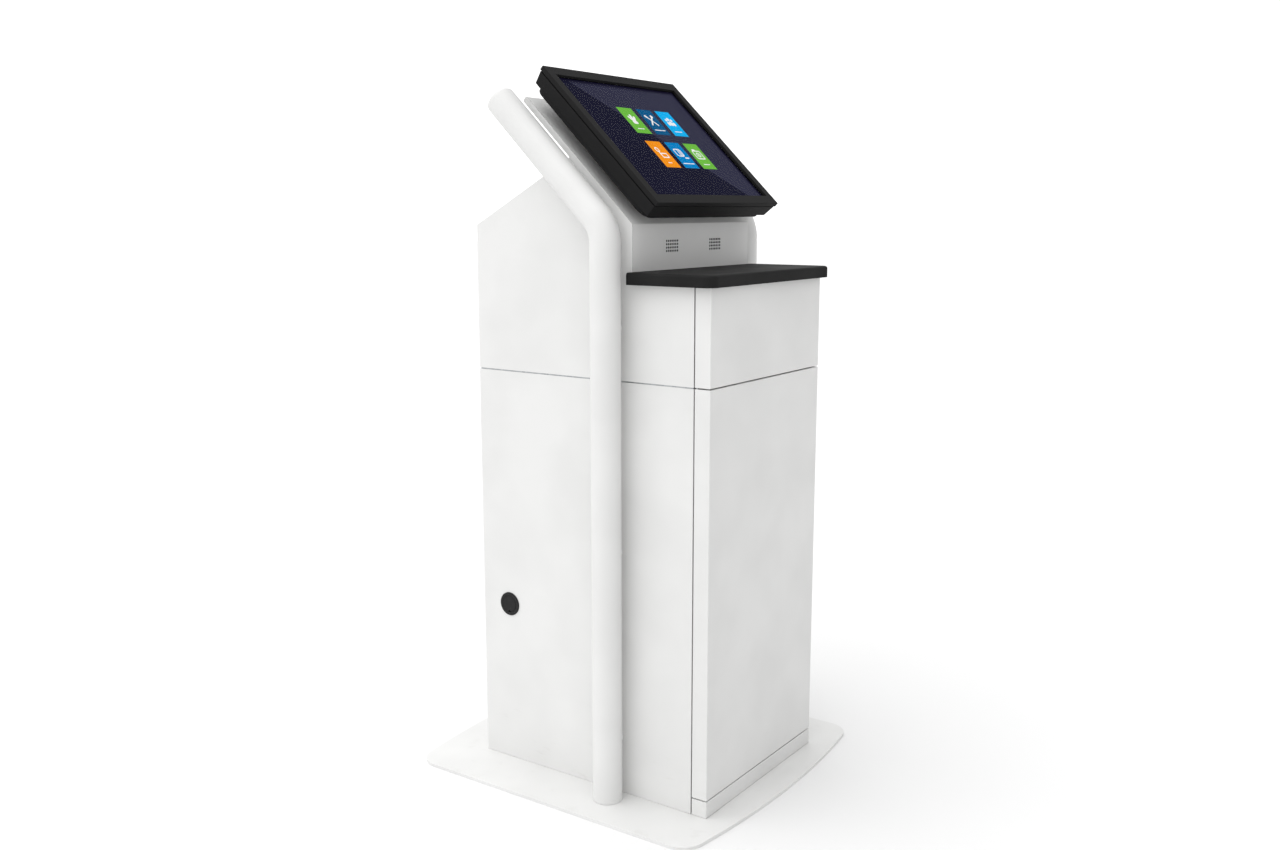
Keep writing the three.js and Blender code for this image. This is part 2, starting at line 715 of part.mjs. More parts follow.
// Roof sheet between the side plates, from the rear knee to the back of the neck.
const roofEndY = apex.y + 4;
const roofEnd = { y: roofEndY, z: kneeHeight + (rear - roofEndY) * roofTan };
const roofDrop = sheet / Math.cos(roofRise);
add('roof_panel', spread([
  { y: rear, z: kneeHeight - sheet + gap }, { y: rear, z: kneeHeight }, roofEnd,
  { y: roofEnd.y, z: roofEnd.z - roofDrop }, { y: rear - 2 * sheet, z: kneeHeight - sheet + gap },
], -inner, inner), white);

// ---- Neck: one bent sheet, upright with the speaker holes, then leaning back ----
const creaseBack = (neckFront + sheet - tubeY + (neckStandOff - sheet) * slantCos) / slantSin;
const neckEdge = neckTop - gap;
const neckCableHole = 26;
function neckPanel() {
  const panel = spread([
    { y: neckFront, z: shelfUnderside },
    { y: neckFront + sheet, z: shelfUnderside },
    onSlant(creaseBack, neckStandOff - sheet),
    onSlant(neckEdge - sheet, neckStandOff - sheet),
    onSlant(neckEdge - sheet, armBack + gap),
    onSlant(neckEdge, armBack + gap),
    onSlant(neckEdge, neckStandOff),
    onSlant(crease, neckStandOff),
  ], -inner, inner);
  const drills = [];
  for (const side of [-1, 1]) {
    for (let row = 0; row < grilleRows; row += 1) {
      for (let column = 0; column < grilleColumns; column += 1) {
        const x = side * grilleOffset + (column - (grilleColumns - 1) / 2) * grillePitch;
        const z = grilleHeight + (row - (grilleRows - 1) / 2) * grillePitch;
        drills.push(bar(grilleHole, 4 * sheet, 'y', x, neckFront - sheet, z, 8));
      }
    }
  }
  const cable = bar(neckCableHole, 6 * sheet, 'y', 0, -neckStandOff - sheet, headAlong);
  cable.rotateX(-slant);
  cable.translate(0, tubeY, tubeKneeHeight);
  return cut(panel, cable, ...drills);
}
add('neck_panel', neckPanel(), white);

const neckPlateFace = -neckStandOff + sheet + gap;
const neckPlateSheet = 3;
const neckPlateHalf = 150;
const neckPlateRise = 110;
add('neck_backing_plate', cut(
  block(
    -neckPlateHalf, neckPlateHalf, neckPlateFace, neckPlateFace + neckPlateSheet,
    headAlong - neckPlateRise, headAlong + neckPlateRise,
  ),
  bar(neckCableHole, neckPlateSheet + 2 * past, 'y', 0, neckPlateFace - past, headAlong),
), steel, lean);

const speakerWidth = 52;
const speakerHeight = 40;
const speakerDepth = 22;
const coneRadius = 16;
const coneBottomRadius = 6;
const coneDepth = 9;
for (const [side, sign] of sides) {
  const body = block(
    -speakerWidth / 2, speakerWidth / 2, 0, speakerDepth, -speakerHeight / 2, speakerHeight / 2,
  );
  const cone = turned([
    [0, -coneDepth], [coneBottomRadius, -coneDepth], [coneRadius, 0], [coneRadius, past], [0, past],
  ], 20);
  cone.rotateX(Math.PI / 2);
  add(`speaker_${side}`, cut(body, cone), plastic)
    .position.set(sign * grilleOffset, neckFront + sheet + gap, grilleHeight);
}

// ---- Worktop and its two brackets ----
const shelfRear = neckFront - gap;
const shelfFrontEdge = -shelfOverhang;
function worktop() {
  const w = shelfWidth / 2;
  const r = shelfCorner;
  const shape = new THREE.Shape();
  shape.moveTo(-w, shelfRear);
  shape.lineTo(-w, shelfFrontEdge + r);
  shape.absarc(-w + r, shelfFrontEdge + r, r, Math.PI, 1.5 * Math.PI);
  shape.lineTo(w - r, shelfFrontEdge);
  shape.absarc(w - r, shelfFrontEdge + r, r, 1.5 * Math.PI, 2 * Math.PI);
  shape.lineTo(w, shelfRear);
  return raised(shape, shelfThickness, 8).translate(0, 0, shelfUnderside);
}
add('shelf', worktop(), black);
const bracketSheet = 3;
const bracketLeg = 34;
const bracketStart = 44;
const bracketEnd = neckFront - 6;
for (const [side, sign] of sides) {
  const outer = inner - stopFlange - gap;
  const top = shelfUnderside - gap;
  const shape = new THREE.Shape([
    [outer, top], [outer - bracketLeg, top], [outer - bracketLeg, top - bracketSheet],
    [outer - bracketSheet, top - bracketSheet], [outer - bracketSheet, top - bracketLeg],
    [outer, top - bracketLeg],
  ].map(([x, z]) => new THREE.Vector2(sign * x, z)));
  const bracket = new THREE.ExtrudeGeometry(shape, { depth: bracketEnd - bracketStart, bevelEnabled: false });
  bracket.rotateX(Math.PI / 2);
  add(`shelf_bracket_${side}`, bracket.translate(0, bracketEnd, 0), steel);
}

// ---- Monitor, in the leaning frame ----
const faceY = -headStandOff;
const bezelBack = faceY + bezelThickness;
const spigotWall = 1.5;
const spigotDepth = 7;
const spigotInset = 6;
const glassFront = faceY + glassRecess + gap;
const glassWidth = openingWidth + 2 * glassLap;
const glassHeight = openingHeight + 2 * glassLap;

// A block centred on the head, spanning two depths.
function headBlock(width, height, y0, y1) {
  return block(-width / 2, width / 2, y0, y1, headAlong - height / 2, headAlong + height / 2);
}

const spigotWidth = headWidth - 2 * (housingInset + spigotInset);
const spigotHeight = headHeight - 2 * (housingInset + spigotInset);
const spigotEnd = bezelBack + spigotDepth;
add('monitor_bezel', cut(
  join(
    headBlock(headWidth, headHeight, faceY, bezelBack),
    headBlock(spigotWidth, spigotHeight, bezelBack - past, spigotEnd),
  ),
  headBlock(openingWidth, openingHeight, faceY - past, spigotEnd + past),
  headBlock(glassWidth + 2 * gap, glassHeight + 2 * gap, faceY + glassRecess, spigotEnd + past),
  headBlock(spigotWidth - 2 * spigotWall, spigotHeight - 2 * spigotWall, bezelBack - gap, spigotEnd + past),
), black, lean);
add('touch_glass', headBlock(glassWidth, glassHeight, glassFront, glassFront + glassThickness), glass, lean);

const lcdClearance = 0.7; // gasket room behind the glass
const lcdFront = glassFront + glassThickness + lcdClearance;
const lcdDepth = 11;
const lcdMargin = 3;
add('lcd_panel', headBlock(
  spigotWidth - 2 * (spigotWall + lcdMargin), spigotHeight - 2 * (spigotWall + lcdMargin),
  lcdFront, lcdFront + lcdDepth,
), panelGrey, lean);

// The housing's front part is a shallow pan that narrows slightly to the rear.
const panFront = bezelBack + shadowGap;
const panBack = panFront + housingDepth;
const backBoxEnd = panBack + backBoxDepth;
const panWidth = headWidth - 2 * housingInset;
const panHeight = headHeight - 2 * housingInset;

function taperedPan(width, height, y0, y1) {
  const geometry = headBlock(width, height, y0, y1);
  const position = geometry.attributes.position;
  const shrinkX = 1 - 2 * housingTaper / width;
  const shrinkZ = 1 - housingTaper / height;
  for (let i = 0; i < position.count; i += 1) {
    if (position.getY(i) > (y0 + y1) / 2) {
      position.setX(i, position.getX(i) * shrinkX);
      position.setZ(i, headAlong + (position.getZ(i) - headAlong) * shrinkZ);
    }
  }
  return geometry;
}

function backBox(inset, y0, y1) {
  const width = panWidth - 2 * (housingTaper + inset);
  const height = panHeight - 2 * (housingTaper + inset);
  const geometry = raised(roundedRectangle(width, height, backBoxCorner - inset), y1 - y0, 6);
  geometry.rotateX(Math.PI / 2);
  return geometry.translate(0, y1, headAlong);
}

const vesaScrews = [
  ['upper_left', -1, 1],
  ['upper_right', 1, 1],
  ['lower_left', -1, -1],
  ['lower_right', 1, -1],
].map(([corner, x, z]) => [corner, x * vesaPitch / 2, headAlong + z * vesaPitch / 2]);
const vesaHoles = (from, to) => vesaScrews.map(([, x, z]) => (
  bar(vesaScrewRadius + gap, to - from, 'y', x, from, z, 12)
));
const housingCableHole = 22;
add('monitor_housing', cut(
  join(
    taperedPan(panWidth, panHeight, panFront, panBack),
    backBox(backBoxInset, panBack - past, backBoxEnd),
  ),
  taperedPan(panWidth - 2 * sheet, panHeight - 2 * sheet, panFront - past, panBack - sheet),
  backBox(backBoxInset + sheet, panBack - 3 * sheet, backBoxEnd - sheet),
  bar(housingCableHole, 4 * sheet, 'y', 0, backBoxEnd - 2 * sheet, headAlong),
  ...vesaHoles(backBoxEnd - 2 * sheet, backBoxEnd + past),
), black, lean);

const boardThickness = 1.6;
const boardBack = backBoxEnd - sheet - 7;
const boardWidth = vesaPitch - 16;
const boardHeight = vesaPitch - 30;
add('controller_board', headBlock(boardWidth, boardHeight, boardBack - boardThickness, boardBack), board, lean);

// Spacer frame that carries the monitor on the neck.
const mountFront = backBoxEnd + gap;
const mountBack = -neckStandOff - gap;
const mountSheet = 3;
const mountSize = vesaPitch + 2 * mountMargin;
const mountInside = mountSize - 2 * mountSheet;
add('monitor_mount', cut(
  headBlock(mountSize, mountSize, mountFront, mountBack),
  headBlock(mountInside, mountInside, mountFront + mountSheet, mountBack + past),
  bar(housingCableHole, 2 * mountSheet, 'y', 0, mountFront - past, headAlong),
  ...vesaHoles(mountFront - past, mountFront + mountSheet + past),
), black, lean);
const screwHead = 4;
const screwHeadHeight = 2.6;
const screwShank = 9;
for (const [corner, x, z] of vesaScrews) {
  const screwSeat = mountFront + mountSheet + gap;
  const screw = turned([
    [0, 0], [screwHead, 0], [screwHead, screwHeadHeight], [vesaScrewRadius, screwHeadHeight],
    [vesaScrewRadius, screwHeadHeight + screwShank], [0, screwHeadHeight + screwShank],
  ], 12);
  // turned pieces point along Z; the screw points to the user
  screw.rotateX(Math.PI / 2);
  add(`vesa_screw_${corner}`, screw, steel, lean).position.set(x, screwSeat + screwHeadHeight, z);
}

export default kiosk;
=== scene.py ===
"""Looks of a floor-standing touchscreen kiosk, built round its fixed frame, in metres."""

import math

import bpy
import numpy as np
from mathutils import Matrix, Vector


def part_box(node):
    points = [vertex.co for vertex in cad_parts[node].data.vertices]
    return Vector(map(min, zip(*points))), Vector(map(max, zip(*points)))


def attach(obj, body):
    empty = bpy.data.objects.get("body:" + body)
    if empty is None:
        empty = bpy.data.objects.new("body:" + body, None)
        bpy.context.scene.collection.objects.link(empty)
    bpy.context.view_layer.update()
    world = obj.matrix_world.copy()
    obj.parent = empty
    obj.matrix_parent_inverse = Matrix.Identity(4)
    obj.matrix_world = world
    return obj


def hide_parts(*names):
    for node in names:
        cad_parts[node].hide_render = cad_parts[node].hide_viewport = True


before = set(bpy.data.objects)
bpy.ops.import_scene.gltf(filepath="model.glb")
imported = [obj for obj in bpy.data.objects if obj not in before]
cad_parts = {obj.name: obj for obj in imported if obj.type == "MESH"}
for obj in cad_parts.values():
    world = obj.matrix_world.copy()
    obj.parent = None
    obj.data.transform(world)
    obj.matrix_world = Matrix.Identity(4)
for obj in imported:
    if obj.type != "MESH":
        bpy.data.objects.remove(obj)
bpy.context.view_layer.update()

# ---- Camera ----
# A visitor's view from the kiosk's left, a little above the worktop, through a normal 35 mm lens. The
# heading turns it from straight ahead to the right, and the dip turns it down from level.
camera = bpy.data.objects.new("camera", bpy.data.cameras.new("camera"))
bpy.context.scene.collection.objects.link(camera)
camera.location = (-1.9843, -1.3865, 1.0957)
camera_heading = math.radians(55.054)
camera_dip = math.radians(9.917)
camera.rotation_euler = (math.pi / 2 - camera_dip, 0, -camera_heading)
camera.data.lens = 35
camera.data.sensor_width = 36
camera.data.clip_end = 100
bpy.context.scene.camera = camera


# ---- Base plate ----
# A 6 mm steel plate, laser cut with bowed front and rear edges and four bolt holes, its edges
# broken by hand before a white powder coat, which the floor traffic scuffs a little.
MM = 0.001


def linear(code):
    """Linear colour of an sRGB hex code: c / 12.92 near black, else ((c + 0.055) / 1.055) ** 2.4."""
    c = np.array([int(code[i:i + 2], 16) for i in (1, 3, 5)]) / 255
    channels = np.where(c <= 0.04045, c / 12.92, ((c + 0.055) / 1.055) ** 2.4)
    return (*channels.tolist(), 1.0)


def add(tree, kind, inputs, output=0, **settings):
    """Adds one node and gives one of its outputs. An input is a value, a hex code or another node's output.
    A colour Mix has its share at input 0, its two colours at 6 and 7, and its result at output 2."""
    node = tree.nodes.new("ShaderNode" + kind)
    for key, value in settings.items():
        setattr(node, key, value)
    for key, value in inputs.items():
        if isinstance(value, bpy.types.NodeSocket):
            tree.links.new(value, node.inputs[key])
        else:
            node.inputs[key].default_value = linear(value) if isinstance(value, str) else value
    return node.outputs[output] if node.outputs else None


def new_finish(name):
    """An empty material, its node tree, and the coordinates of the piece itself."""
    material = bpy.data.materials.new(name)
    material.use_nodes = True
    material.node_tree.nodes.clear()
    return material, material.node_tree, add(material.node_tree, "TexCoord", {}, "Object")


def close_finish(tree, inputs):
    """Ends a material in one Principled shader with these inputs."""
    add(tree, "OutputMaterial", {"Surface": add(tree, "BsdfPrincipled", inputs)})


def white_powder_coat(name, scuff_height):
    """Satin white powder coat: a slight orange peel, a soft shine, and grey scuffs up to scuff_height, which
    are about 9 mm high and four times as wide."""
    material, tree, place = new_finish(name)
    # the peel's real bumps are about 1.5 mm apart; they are drawn 3 mm apart so that they show
    peel = add(tree, "TexNoise", {"Vector": place, "Scale": 1 / (3 * MM), "Detail": 1.0})
    mottle = add(tree, "TexNoise", {"Vector": place, "Scale": 1 / (140 * MM)})
    fresh = add(tree, "MapRange", {"Value": mottle, "From Min": 0.35, "From Max": 0.65})
    tone = add(tree, "Mix", {0: fresh, 6: "#dededd", 7: "#d9d9d8"}, 2, data_type="RGBA")
    level = add(tree, "SeparateXYZ", {"Vector": place}, "Z")
    low_down = add(tree, "MapRange", {"Value": level, "From Max": scuff_height, "To Min": 1, "To Max": 0})
    flattened = add(tree, "Mapping", {"Vector": place, "Scale": (0.25, 0.25, 1)})
    marks = add(tree, "TexNoise", {"Vector": flattened, "Scale": 1 / (9 * MM), "Detail": 4.0})
    scuffs = add(tree, "MapRange", {"Value": marks, "From Min": 0.62, "From Max": 0.8, "To Max": 0.25})
    scuffed = add(tree, "Math", {0: low_down, 1: scuffs}, operation="MULTIPLY")
    close_finish(tree, {
        "Base Color": add(tree, "Mix", {0: scuffed, 6: tone, 7: "#b9b7b3"}, 2, data_type="RGBA"),
        "Roughness": add(tree, "MapRange", {
            "Value": mottle, "From Min": 0.3, "From Max": 0.7, "To Min": 0.42, "To Max": 0.5,
        }),
        "Normal": add(tree, "Bump", {"Height": peel, "Distance": 0.05 * MM, "Strength": 0.35}),
    })
    return material


white_coat = white_powder_coat("satin_white_powder_coat", 160 * MM)


def dressed(node, finish, edge, steps=2):
    """Keeps a frame piece: welds its corners, merges its flat faces, rounds its sharp edges and coats it."""
    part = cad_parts[node]
    part.data.materials.clear()
    part.data.materials.append(finish)
    weld = part.modifiers.new("weld", "WELD")
    weld.merge_threshold = 0.01 * MM
    flat = part.modifiers.new("flat", "DECIMATE")
    flat.decimate_type = "DISSOLVE"
    flat.angle_limit = math.radians(1)
    rounding = part.modifiers.new("edges", "BEVEL")
    rounding.width = edge
    rounding.segments = steps
    rounding.limit_method = "ANGLE"
    rounding.angle_limit = math.radians(38)


dressed("base_plate", white_powder_coat("scuffed_white_powder_coat", 30 * MM), 0.8 * MM, 3)


# ---- Side tubes ----
# Two 55 mm steel tubes with a 2 mm wall, bent back once on a mandrel bender and closed at the tip
# with a rounded cap that is welded on and ground flush. They stand on the base plate.
def skin(rings, wrap=False):
    """Points and faces of a closed skin over rings of points that run anticlockwise seen from the last ring.
    Neighbouring rings are joined by four-sided faces. The end rings are filled, or joined if wrap is set."""
    count, around = rings.shape[:2]
    row = np.arange(count if wrap else count - 1)[:, None]
    column = np.arange(around)[None, :]
    here, there = row * around, (row + 1) % count * around
    ahead = (column + 1) % around
    quads = np.stack([here + column, here + ahead, there + ahead, there + column], -1)
    faces = quads.reshape(-1, 4).tolist()
    if not wrap:
        faces.append(list(range(around))[::-1])
        faces.append(list(range((count - 1) * around, count * around)))
    return rings.reshape(-1, 3), faces


def piece(name, points, faces, finish, body, stands_for=(), sharp=40, wall=0, edge=0):
    """One object at the origin: smooth, with creases above sharp degrees and flat faces kept flat.
    A sheet is given its wall behind the faces, whose cut edges take the last finish and a small round."""
    mesh = bpy.data.meshes.new(name)
    mesh.from_pydata(np.asarray(points, float).tolist(), [], faces)
    mesh.polygons.foreach_set("use_smooth", np.ones(len(mesh.polygons), bool))
    mesh.set_sharp_from_angle(angle=math.radians(sharp))
    for coat in finish if isinstance(finish, list) else [finish]:
        mesh.materials.append(coat)
    made = bpy.data.objects.new(name, mesh)
    bpy.context.scene.collection.objects.link(made)
    if wall:
        thick = made.modifiers.new("wall", "SOLIDIFY")
        thick.thickness = wall
        thick.offset = -1
        thick.material_offset_rim = len(mesh.materials) - 1
    if edge:
        rounding = made.modifiers.new("edges", "BEVEL")
        rounding.width = edge
        rounding.segments = 2
        rounding.limit_method = "ANGLE"
        rounding.angle_limit = math.radians(60)
    even = made.modifiers.new("even", "WEIGHTED_NORMAL")
    even.keep_sharp = True
    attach(made, body)
    if stands_for:
        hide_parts(*stands_for)
    return made


lean = math.radians(46)
up_slant = np.array([0, math.sin(lean), math.cos(lean)])
to_user = np.array([0, -math.cos(lean), math.sin(lean)])
across = np.array([1.0, 0, 0])
knee_y = -91.5 * MM
knee_z = 1061.5 * MM
tube_radius = 27.5 * MM
tube_bore = 25.5 * MM
bend_radius = 62 * MM
arm_length = 328 * MM
tip_fillet = 7 * MM
# the small chamfer at any cut or turned edge that has no larger one of its own
cut_edge = 0.3 * MM


def quarter(inset, height, radius, start, end, steps=6):
    """Points on an arc about the centre (inset, height): inset - radius sin a and height + radius cos a, for
    an angle a from start to end in degrees."""
    angle = np.radians(np.linspace(start, end, steps + 1))
    return [(inset - radius * math.sin(a), height + radius * math.cos(a)) for a in angle]


bend_start = knee_z - bend_radius * math.tan(lean / 2)
bend_end = bend_start + bend_radius * lean
arm_end = bend_end + arm_length - bend_radius * math.tan(lean / 2)


def tube_rings(reach, radius, around=72):
    """Circles of given radii centred at given distances along the bent line, square to it.
    The line rises to the bend, turns on an arc of bend_radius, and runs on along the slant."""
    reach, radius = np.asarray(reach, float), np.asarray(radius, float)
    turned = np.clip((reach - bend_start) / bend_radius, 0, lean)
    beyond = np.maximum(reach - bend_end, 0)
    y = bend_radius * (1 - np.cos(turned)) + beyond * math.sin(lean)
    z = np.minimum(reach, bend_start) + bend_radius * np.sin(turned) + beyond * math.cos(lean)
    angle = np.linspace(0, 2 * math.pi, around, endpoint=False)
    x = radius[:, None] * np.cos(angle)
    side = radius[:, None] * np.sin(angle)
    return np.stack([
        x,
        knee_y + y[:, None] + side * np.cos(turned)[:, None],
        z[:, None] - side * np.sin(turned)[:, None],
    ], -1)


for side in ("left", "right"):
    low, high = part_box(f"{side}_tube")
    foot = low.z
    bends = np.linspace(bend_start, bend_end, 33)
    cap = quarter(tube_radius - tip_fillet, arm_end - tip_fillet, tip_fillet, -90, 0, 10)
    # the bore, from under the cap down to the foot
    shell = [(arm_end - tip_fillet, 0.9 * tube_bore), (arm_end - tip_fillet, tube_bore)]
    shell += [(r, tube_bore) for r in bends[::-1]] + [(foot + cut_edge, tube_bore)]
    # the outside, from the foot up over the cap
    shell += [(foot, tube_bore + cut_edge), (foot, tube_radius - cut_edge), (foot + cut_edge, tube_radius)]
    shell += [(r, tube_radius) for r in bends] + [(w, i) for i, w in cap] + [(arm_end, 0.3 * tube_radius)]
    reach, radius = zip(*shell)
    points, faces = skin(tube_rings(reach, radius))
    points[:, 0] += (low.x + high.x) / 2
    piece(f"bent_tube_{side}", points, faces, white_coat, "cabinet", [f"{side}_tube"])

# ---- Tube spacers ----
# Turned steel studs that hold each tube off the cabinet's side, saddle cut to the tube's round and
# coated with it: three on the upright run and one on the arm.
spacer_radius = 10 * MM
spacer_chamfer = 0.5 * MM


def spacer_rings(tube_axis, around=40):
    """A stud from 0 to the tube: its far end lies at tube_axis - sqrt(R squared - u squared), u across the
    tube."""
    angle = np.linspace(0, 2 * math.pi, around, endpoint=False)
    u, v = spacer_radius * np.cos(angle), spacer_radius * np.sin(angle)
    saddle = tube_axis - np.sqrt((tube_radius + cut_edge) ** 2 - u ** 2)
    chamfer = 1 - spacer_chamfer / spacer_radius
    foot, shoulder = np.zeros(around), np.full(around, spacer_chamfer)
    rings = [(chamfer, foot), (1, shoulder), (1, saddle), (chamfer, saddle)]
    return np.array([np.column_stack([k * u, k * v, w]) for k, w in rings])


for side, sign in (("left", -1), ("right", 1)):
    tube_low, tube_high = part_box(f"{side}_tube")
    tube_x = (tube_low.x + tube_high.x) / 2
    for place in ("tube_spacer_1", "tube_spacer_2", "tube_spacer_3", "arm_spacer"):
        node = f"{side}_{place}"
        low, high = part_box(node)
        start = high.x if sign < 0 else low.x
        # u runs across the tube and v along it, so that u, v and the outward direction are right-handed
        along = up_slant if place == "arm_spacer" else np.array([0, 0, 1.0])
        outward = sign * across
        crosswise = np.cross(along, outward)
        centre = np.array([start, (low.y + high.y) / 2, (low.z + high.z) / 2])
        rings = spacer_rings(abs(tube_x - start)) @ np.array([crosswise, along, outward])
        points, faces = skin(centre + rings)
        piece(f"{node}_stud", points, faces, white_coat, "cabinet", [node])

# ---- Lower cabinet sides and rear ----
# Flat 1.5 mm steel sheets, laser cut and folded, in white powder coat. The rear sheet has six air
# inlet slots low down and a slotted guard in front of the fan.
for node in ("lower_side_left", "lower_side_right", "lower_rear_panel"):
    dressed(node, white_coat, 0.25 * MM)


# ---- Floor angles and waist frame ----
# Zinc-plated steel: two angles that tie the cabinet's sides to the base plate, and a square frame
# that joins the lower and the upper cabinet behind the open seam.
def zinc_plate(name):
    """Zinc plating on rolled steel: metallic, with soft grey crystals about 6 mm across and fine rolling
    lines, drawn 0.6 mm apart."""
    material, tree, place = new_finish(name)
    crystal = add(tree, "TexVoronoi", {"Vector": place, "Scale": 1 / (6 * MM)}, "Color")
    grey = add(tree, "SeparateColor", {"Color": crystal})
    drawn_out = add(tree, "Mapping", {"Vector": place, "Scale": (1, 0.05, 1)})
    rolled = add(tree, "TexNoise", {"Vector": drawn_out, "Scale": 1 / (0.6 * MM)})
    close_finish(tree, {
        "Base Color": add(tree, "Mix", {0: grey, 6: "#a4a7aa", 7: "#bfc2c4"}, 2, data_type="RGBA"),
        "Metallic": 1.0,
        "Roughness": add(tree, "MapRange", {"Value": grey, "To Min": 0.3, "To Max": 0.44}),
        "Normal": add(tree, "Bump", {"Height": rolled, "Distance": 0.02 * MM, "Strength": 0.3}),
    })
    return material


zinc = zinc_plate("zinc_plated_steel")
for node in ("floor_angle_left", "floor_angle_right", "waist_frame"):
    dressed(node, zinc, 0.4 * MM)


# ---- Floor bolts ----
# Four zinc-plated M8 hexagon bolts, cold headed, with the corners of the head turned to a chamfer.
# They pass through the angles and the base plate's anchor holes.
def spun(profile, around=72):
    """Rings about w: each (radius, height) is a circle, or any outline if radius is one value per angle."""
    angle = np.linspace(0, 2 * math.pi, around, endpoint=False)
    radius = np.array([np.broadcast_to(r, around) for r, w in profile])
    height = np.array([np.full(around, w) for r, w in profile])
    return np.stack([radius * np.cos(angle), radius * np.sin(angle), height], -1)


def hexagon(flats, around=72):
    """Radius of a hexagon at each angle: half its width over the cosine of the angle from the middle of the
    nearest flat."""
    angle = np.linspace(0, 360, around, endpoint=False)
    return flats / 2 / np.cos(np.radians((angle + 30) % 60 - 30))


def placed(rings, u, v, origin=(0, 0, 0)):
    """Rings in u, v, w put in the kiosk's frame: w is square to u and v."""
    return np.array(origin) + rings @ np.array([u, v, np.cross(u, v)])


backward = np.array([0, 1.0, 0])
upward = np.array([0, 0, 1.0])
bolt_flats = 11.2 * MM
bolt_head = hexagon(bolt_flats)
bolt_head_height = 5 * MM
bolt_radius = 4 * MM
bolt_tip_chamfer = 0.6 * MM
head_chamfer_height = 0.7 * MM
head_top = np.minimum(bolt_head, bolt_flats / 2 - cut_edge)
for corner in ("front_left", "front_right", "rear_left", "rear_right"):
    node = f"floor_bolt_{corner}"
    low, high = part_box(node)
    seat = high.z - bolt_head_height
    points, faces = skin(placed(spun([
        (bolt_radius - bolt_tip_chamfer, low.z), (bolt_radius, low.z + bolt_tip_chamfer),
        (bolt_radius, seat), (bolt_head, seat), (bolt_head, high.z - head_chamfer_height), (head_top, high.z),
    ]), across, backward, [(low.x + high.x) / 2, (low.y + high.y) / 2, 0]))
    piece(f"hexagon_bolt_{corner}", points, faces, zinc, "cabinet", [node], sharp=30)


# ---- Fan ----
# An 80 mm equipment fan of glass-filled black nylon: a moulded frame, and a rotor with seven twisted
# blades on a round hub.
def moulded_black(name):
    """Moulded black plastic: a fine spark-eroded grain, drawn 0.8 mm coarse, that keeps it from shining."""
    material, tree, place = new_finish(name)
    grain = add(tree, "TexNoise", {"Vector": place, "Scale": 1 / (0.8 * MM)})
    flow = add(tree, "TexNoise", {"Vector": place, "Scale": 1 / (60 * MM)})
    close_finish(tree, {
        "Base Color": add(tree, "Mix", {0: flow, 6: "#242425", 7: "#2a2a2a"}, 2, data_type="RGBA"),
        "Roughness": add(tree, "MapRange", {
            "Value": grain, "From Min": 0.3, "From Max": 0.7, "To Min": 0.45, "To Max": 0.6,
        }),
        "Specular IOR Level": 0.12,
        "Normal": add(tree, "Bump", {"Height": grain, "Distance": 0.03 * MM, "Strength": 0.5}),
    })
    return material


def joined(parts):
    """One set of points and faces from several closed skins."""
    starts = np.cumsum([0] + [len(points) for points, faces in parts])
    points = np.concatenate([points for points, faces in parts])
    return points, [[start + i for i in face] for start, (_, faces) in zip(starts, parts) for face in faces]


moulded_plastic = moulded_black("moulded_black_plastic")
dressed("fan_frame", moulded_plastic, 0.6 * MM)
low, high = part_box("fan_rotor")
rotor_length = high.y - low.y
fan_height = (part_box("fan_frame")[0].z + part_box("fan_frame")[1].z) / 2
hub_radius = 15 * MM
hub_nose = 1.5 * MM
hub_chamfer = 0.5 * MM
blade_count = 7
blade_root = hub_radius - 1 * MM
blade_tip = 33.8 * MM
blade_stations = 9
root_pitch = 50
tip_pitch = 34
half_chord = 8.2 * MM
half_thickness = 0.7 * MM
camber = 1.4 * MM


def blade(turn):
    """A blade from root to tip: its section is half_chord sin a wide and half_thickness cos a thick, plus a
    camber of cos squared a. It is pitched by an angle that falls towards the tip and is wrapped on the circle
    of its radius."""
    radius = np.linspace(blade_root, blade_tip, blade_stations)[:, None]
    pitch = np.radians(np.linspace(root_pitch, tip_pitch, blade_stations))[:, None]
    a = np.linspace(0, 2 * math.pi, 24, endpoint=False)[None, :]
    chord = half_chord * np.sin(a)
    lift = half_thickness * np.cos(a) + camber * np.cos(a) ** 2
    swing = turn + (chord * np.cos(pitch) - lift * np.sin(pitch)) / radius
    axial = chord * np.sin(pitch) + lift * np.cos(pitch)
    return skin(np.stack([radius * np.cos(swing), radius * np.sin(swing), axial], -1))


hub = skin(spun([
    (hub_radius - hub_nose, -rotor_length / 2), (hub_radius, -rotor_length / 2 + hub_nose),
    (hub_radius, rotor_length / 2 - hub_chamfer), (hub_radius - hub_chamfer, rotor_length / 2),
]))
points, faces = joined([hub] + [blade(2 * math.pi * i / blade_count) for i in range(blade_count)])
points = placed(points, upward, across, [0, (low.y + high.y) / 2, fan_height])
piece("bladed_rotor", points, faces, moulded_plastic, "fan_blades", ["fan_rotor"], sharp=35)

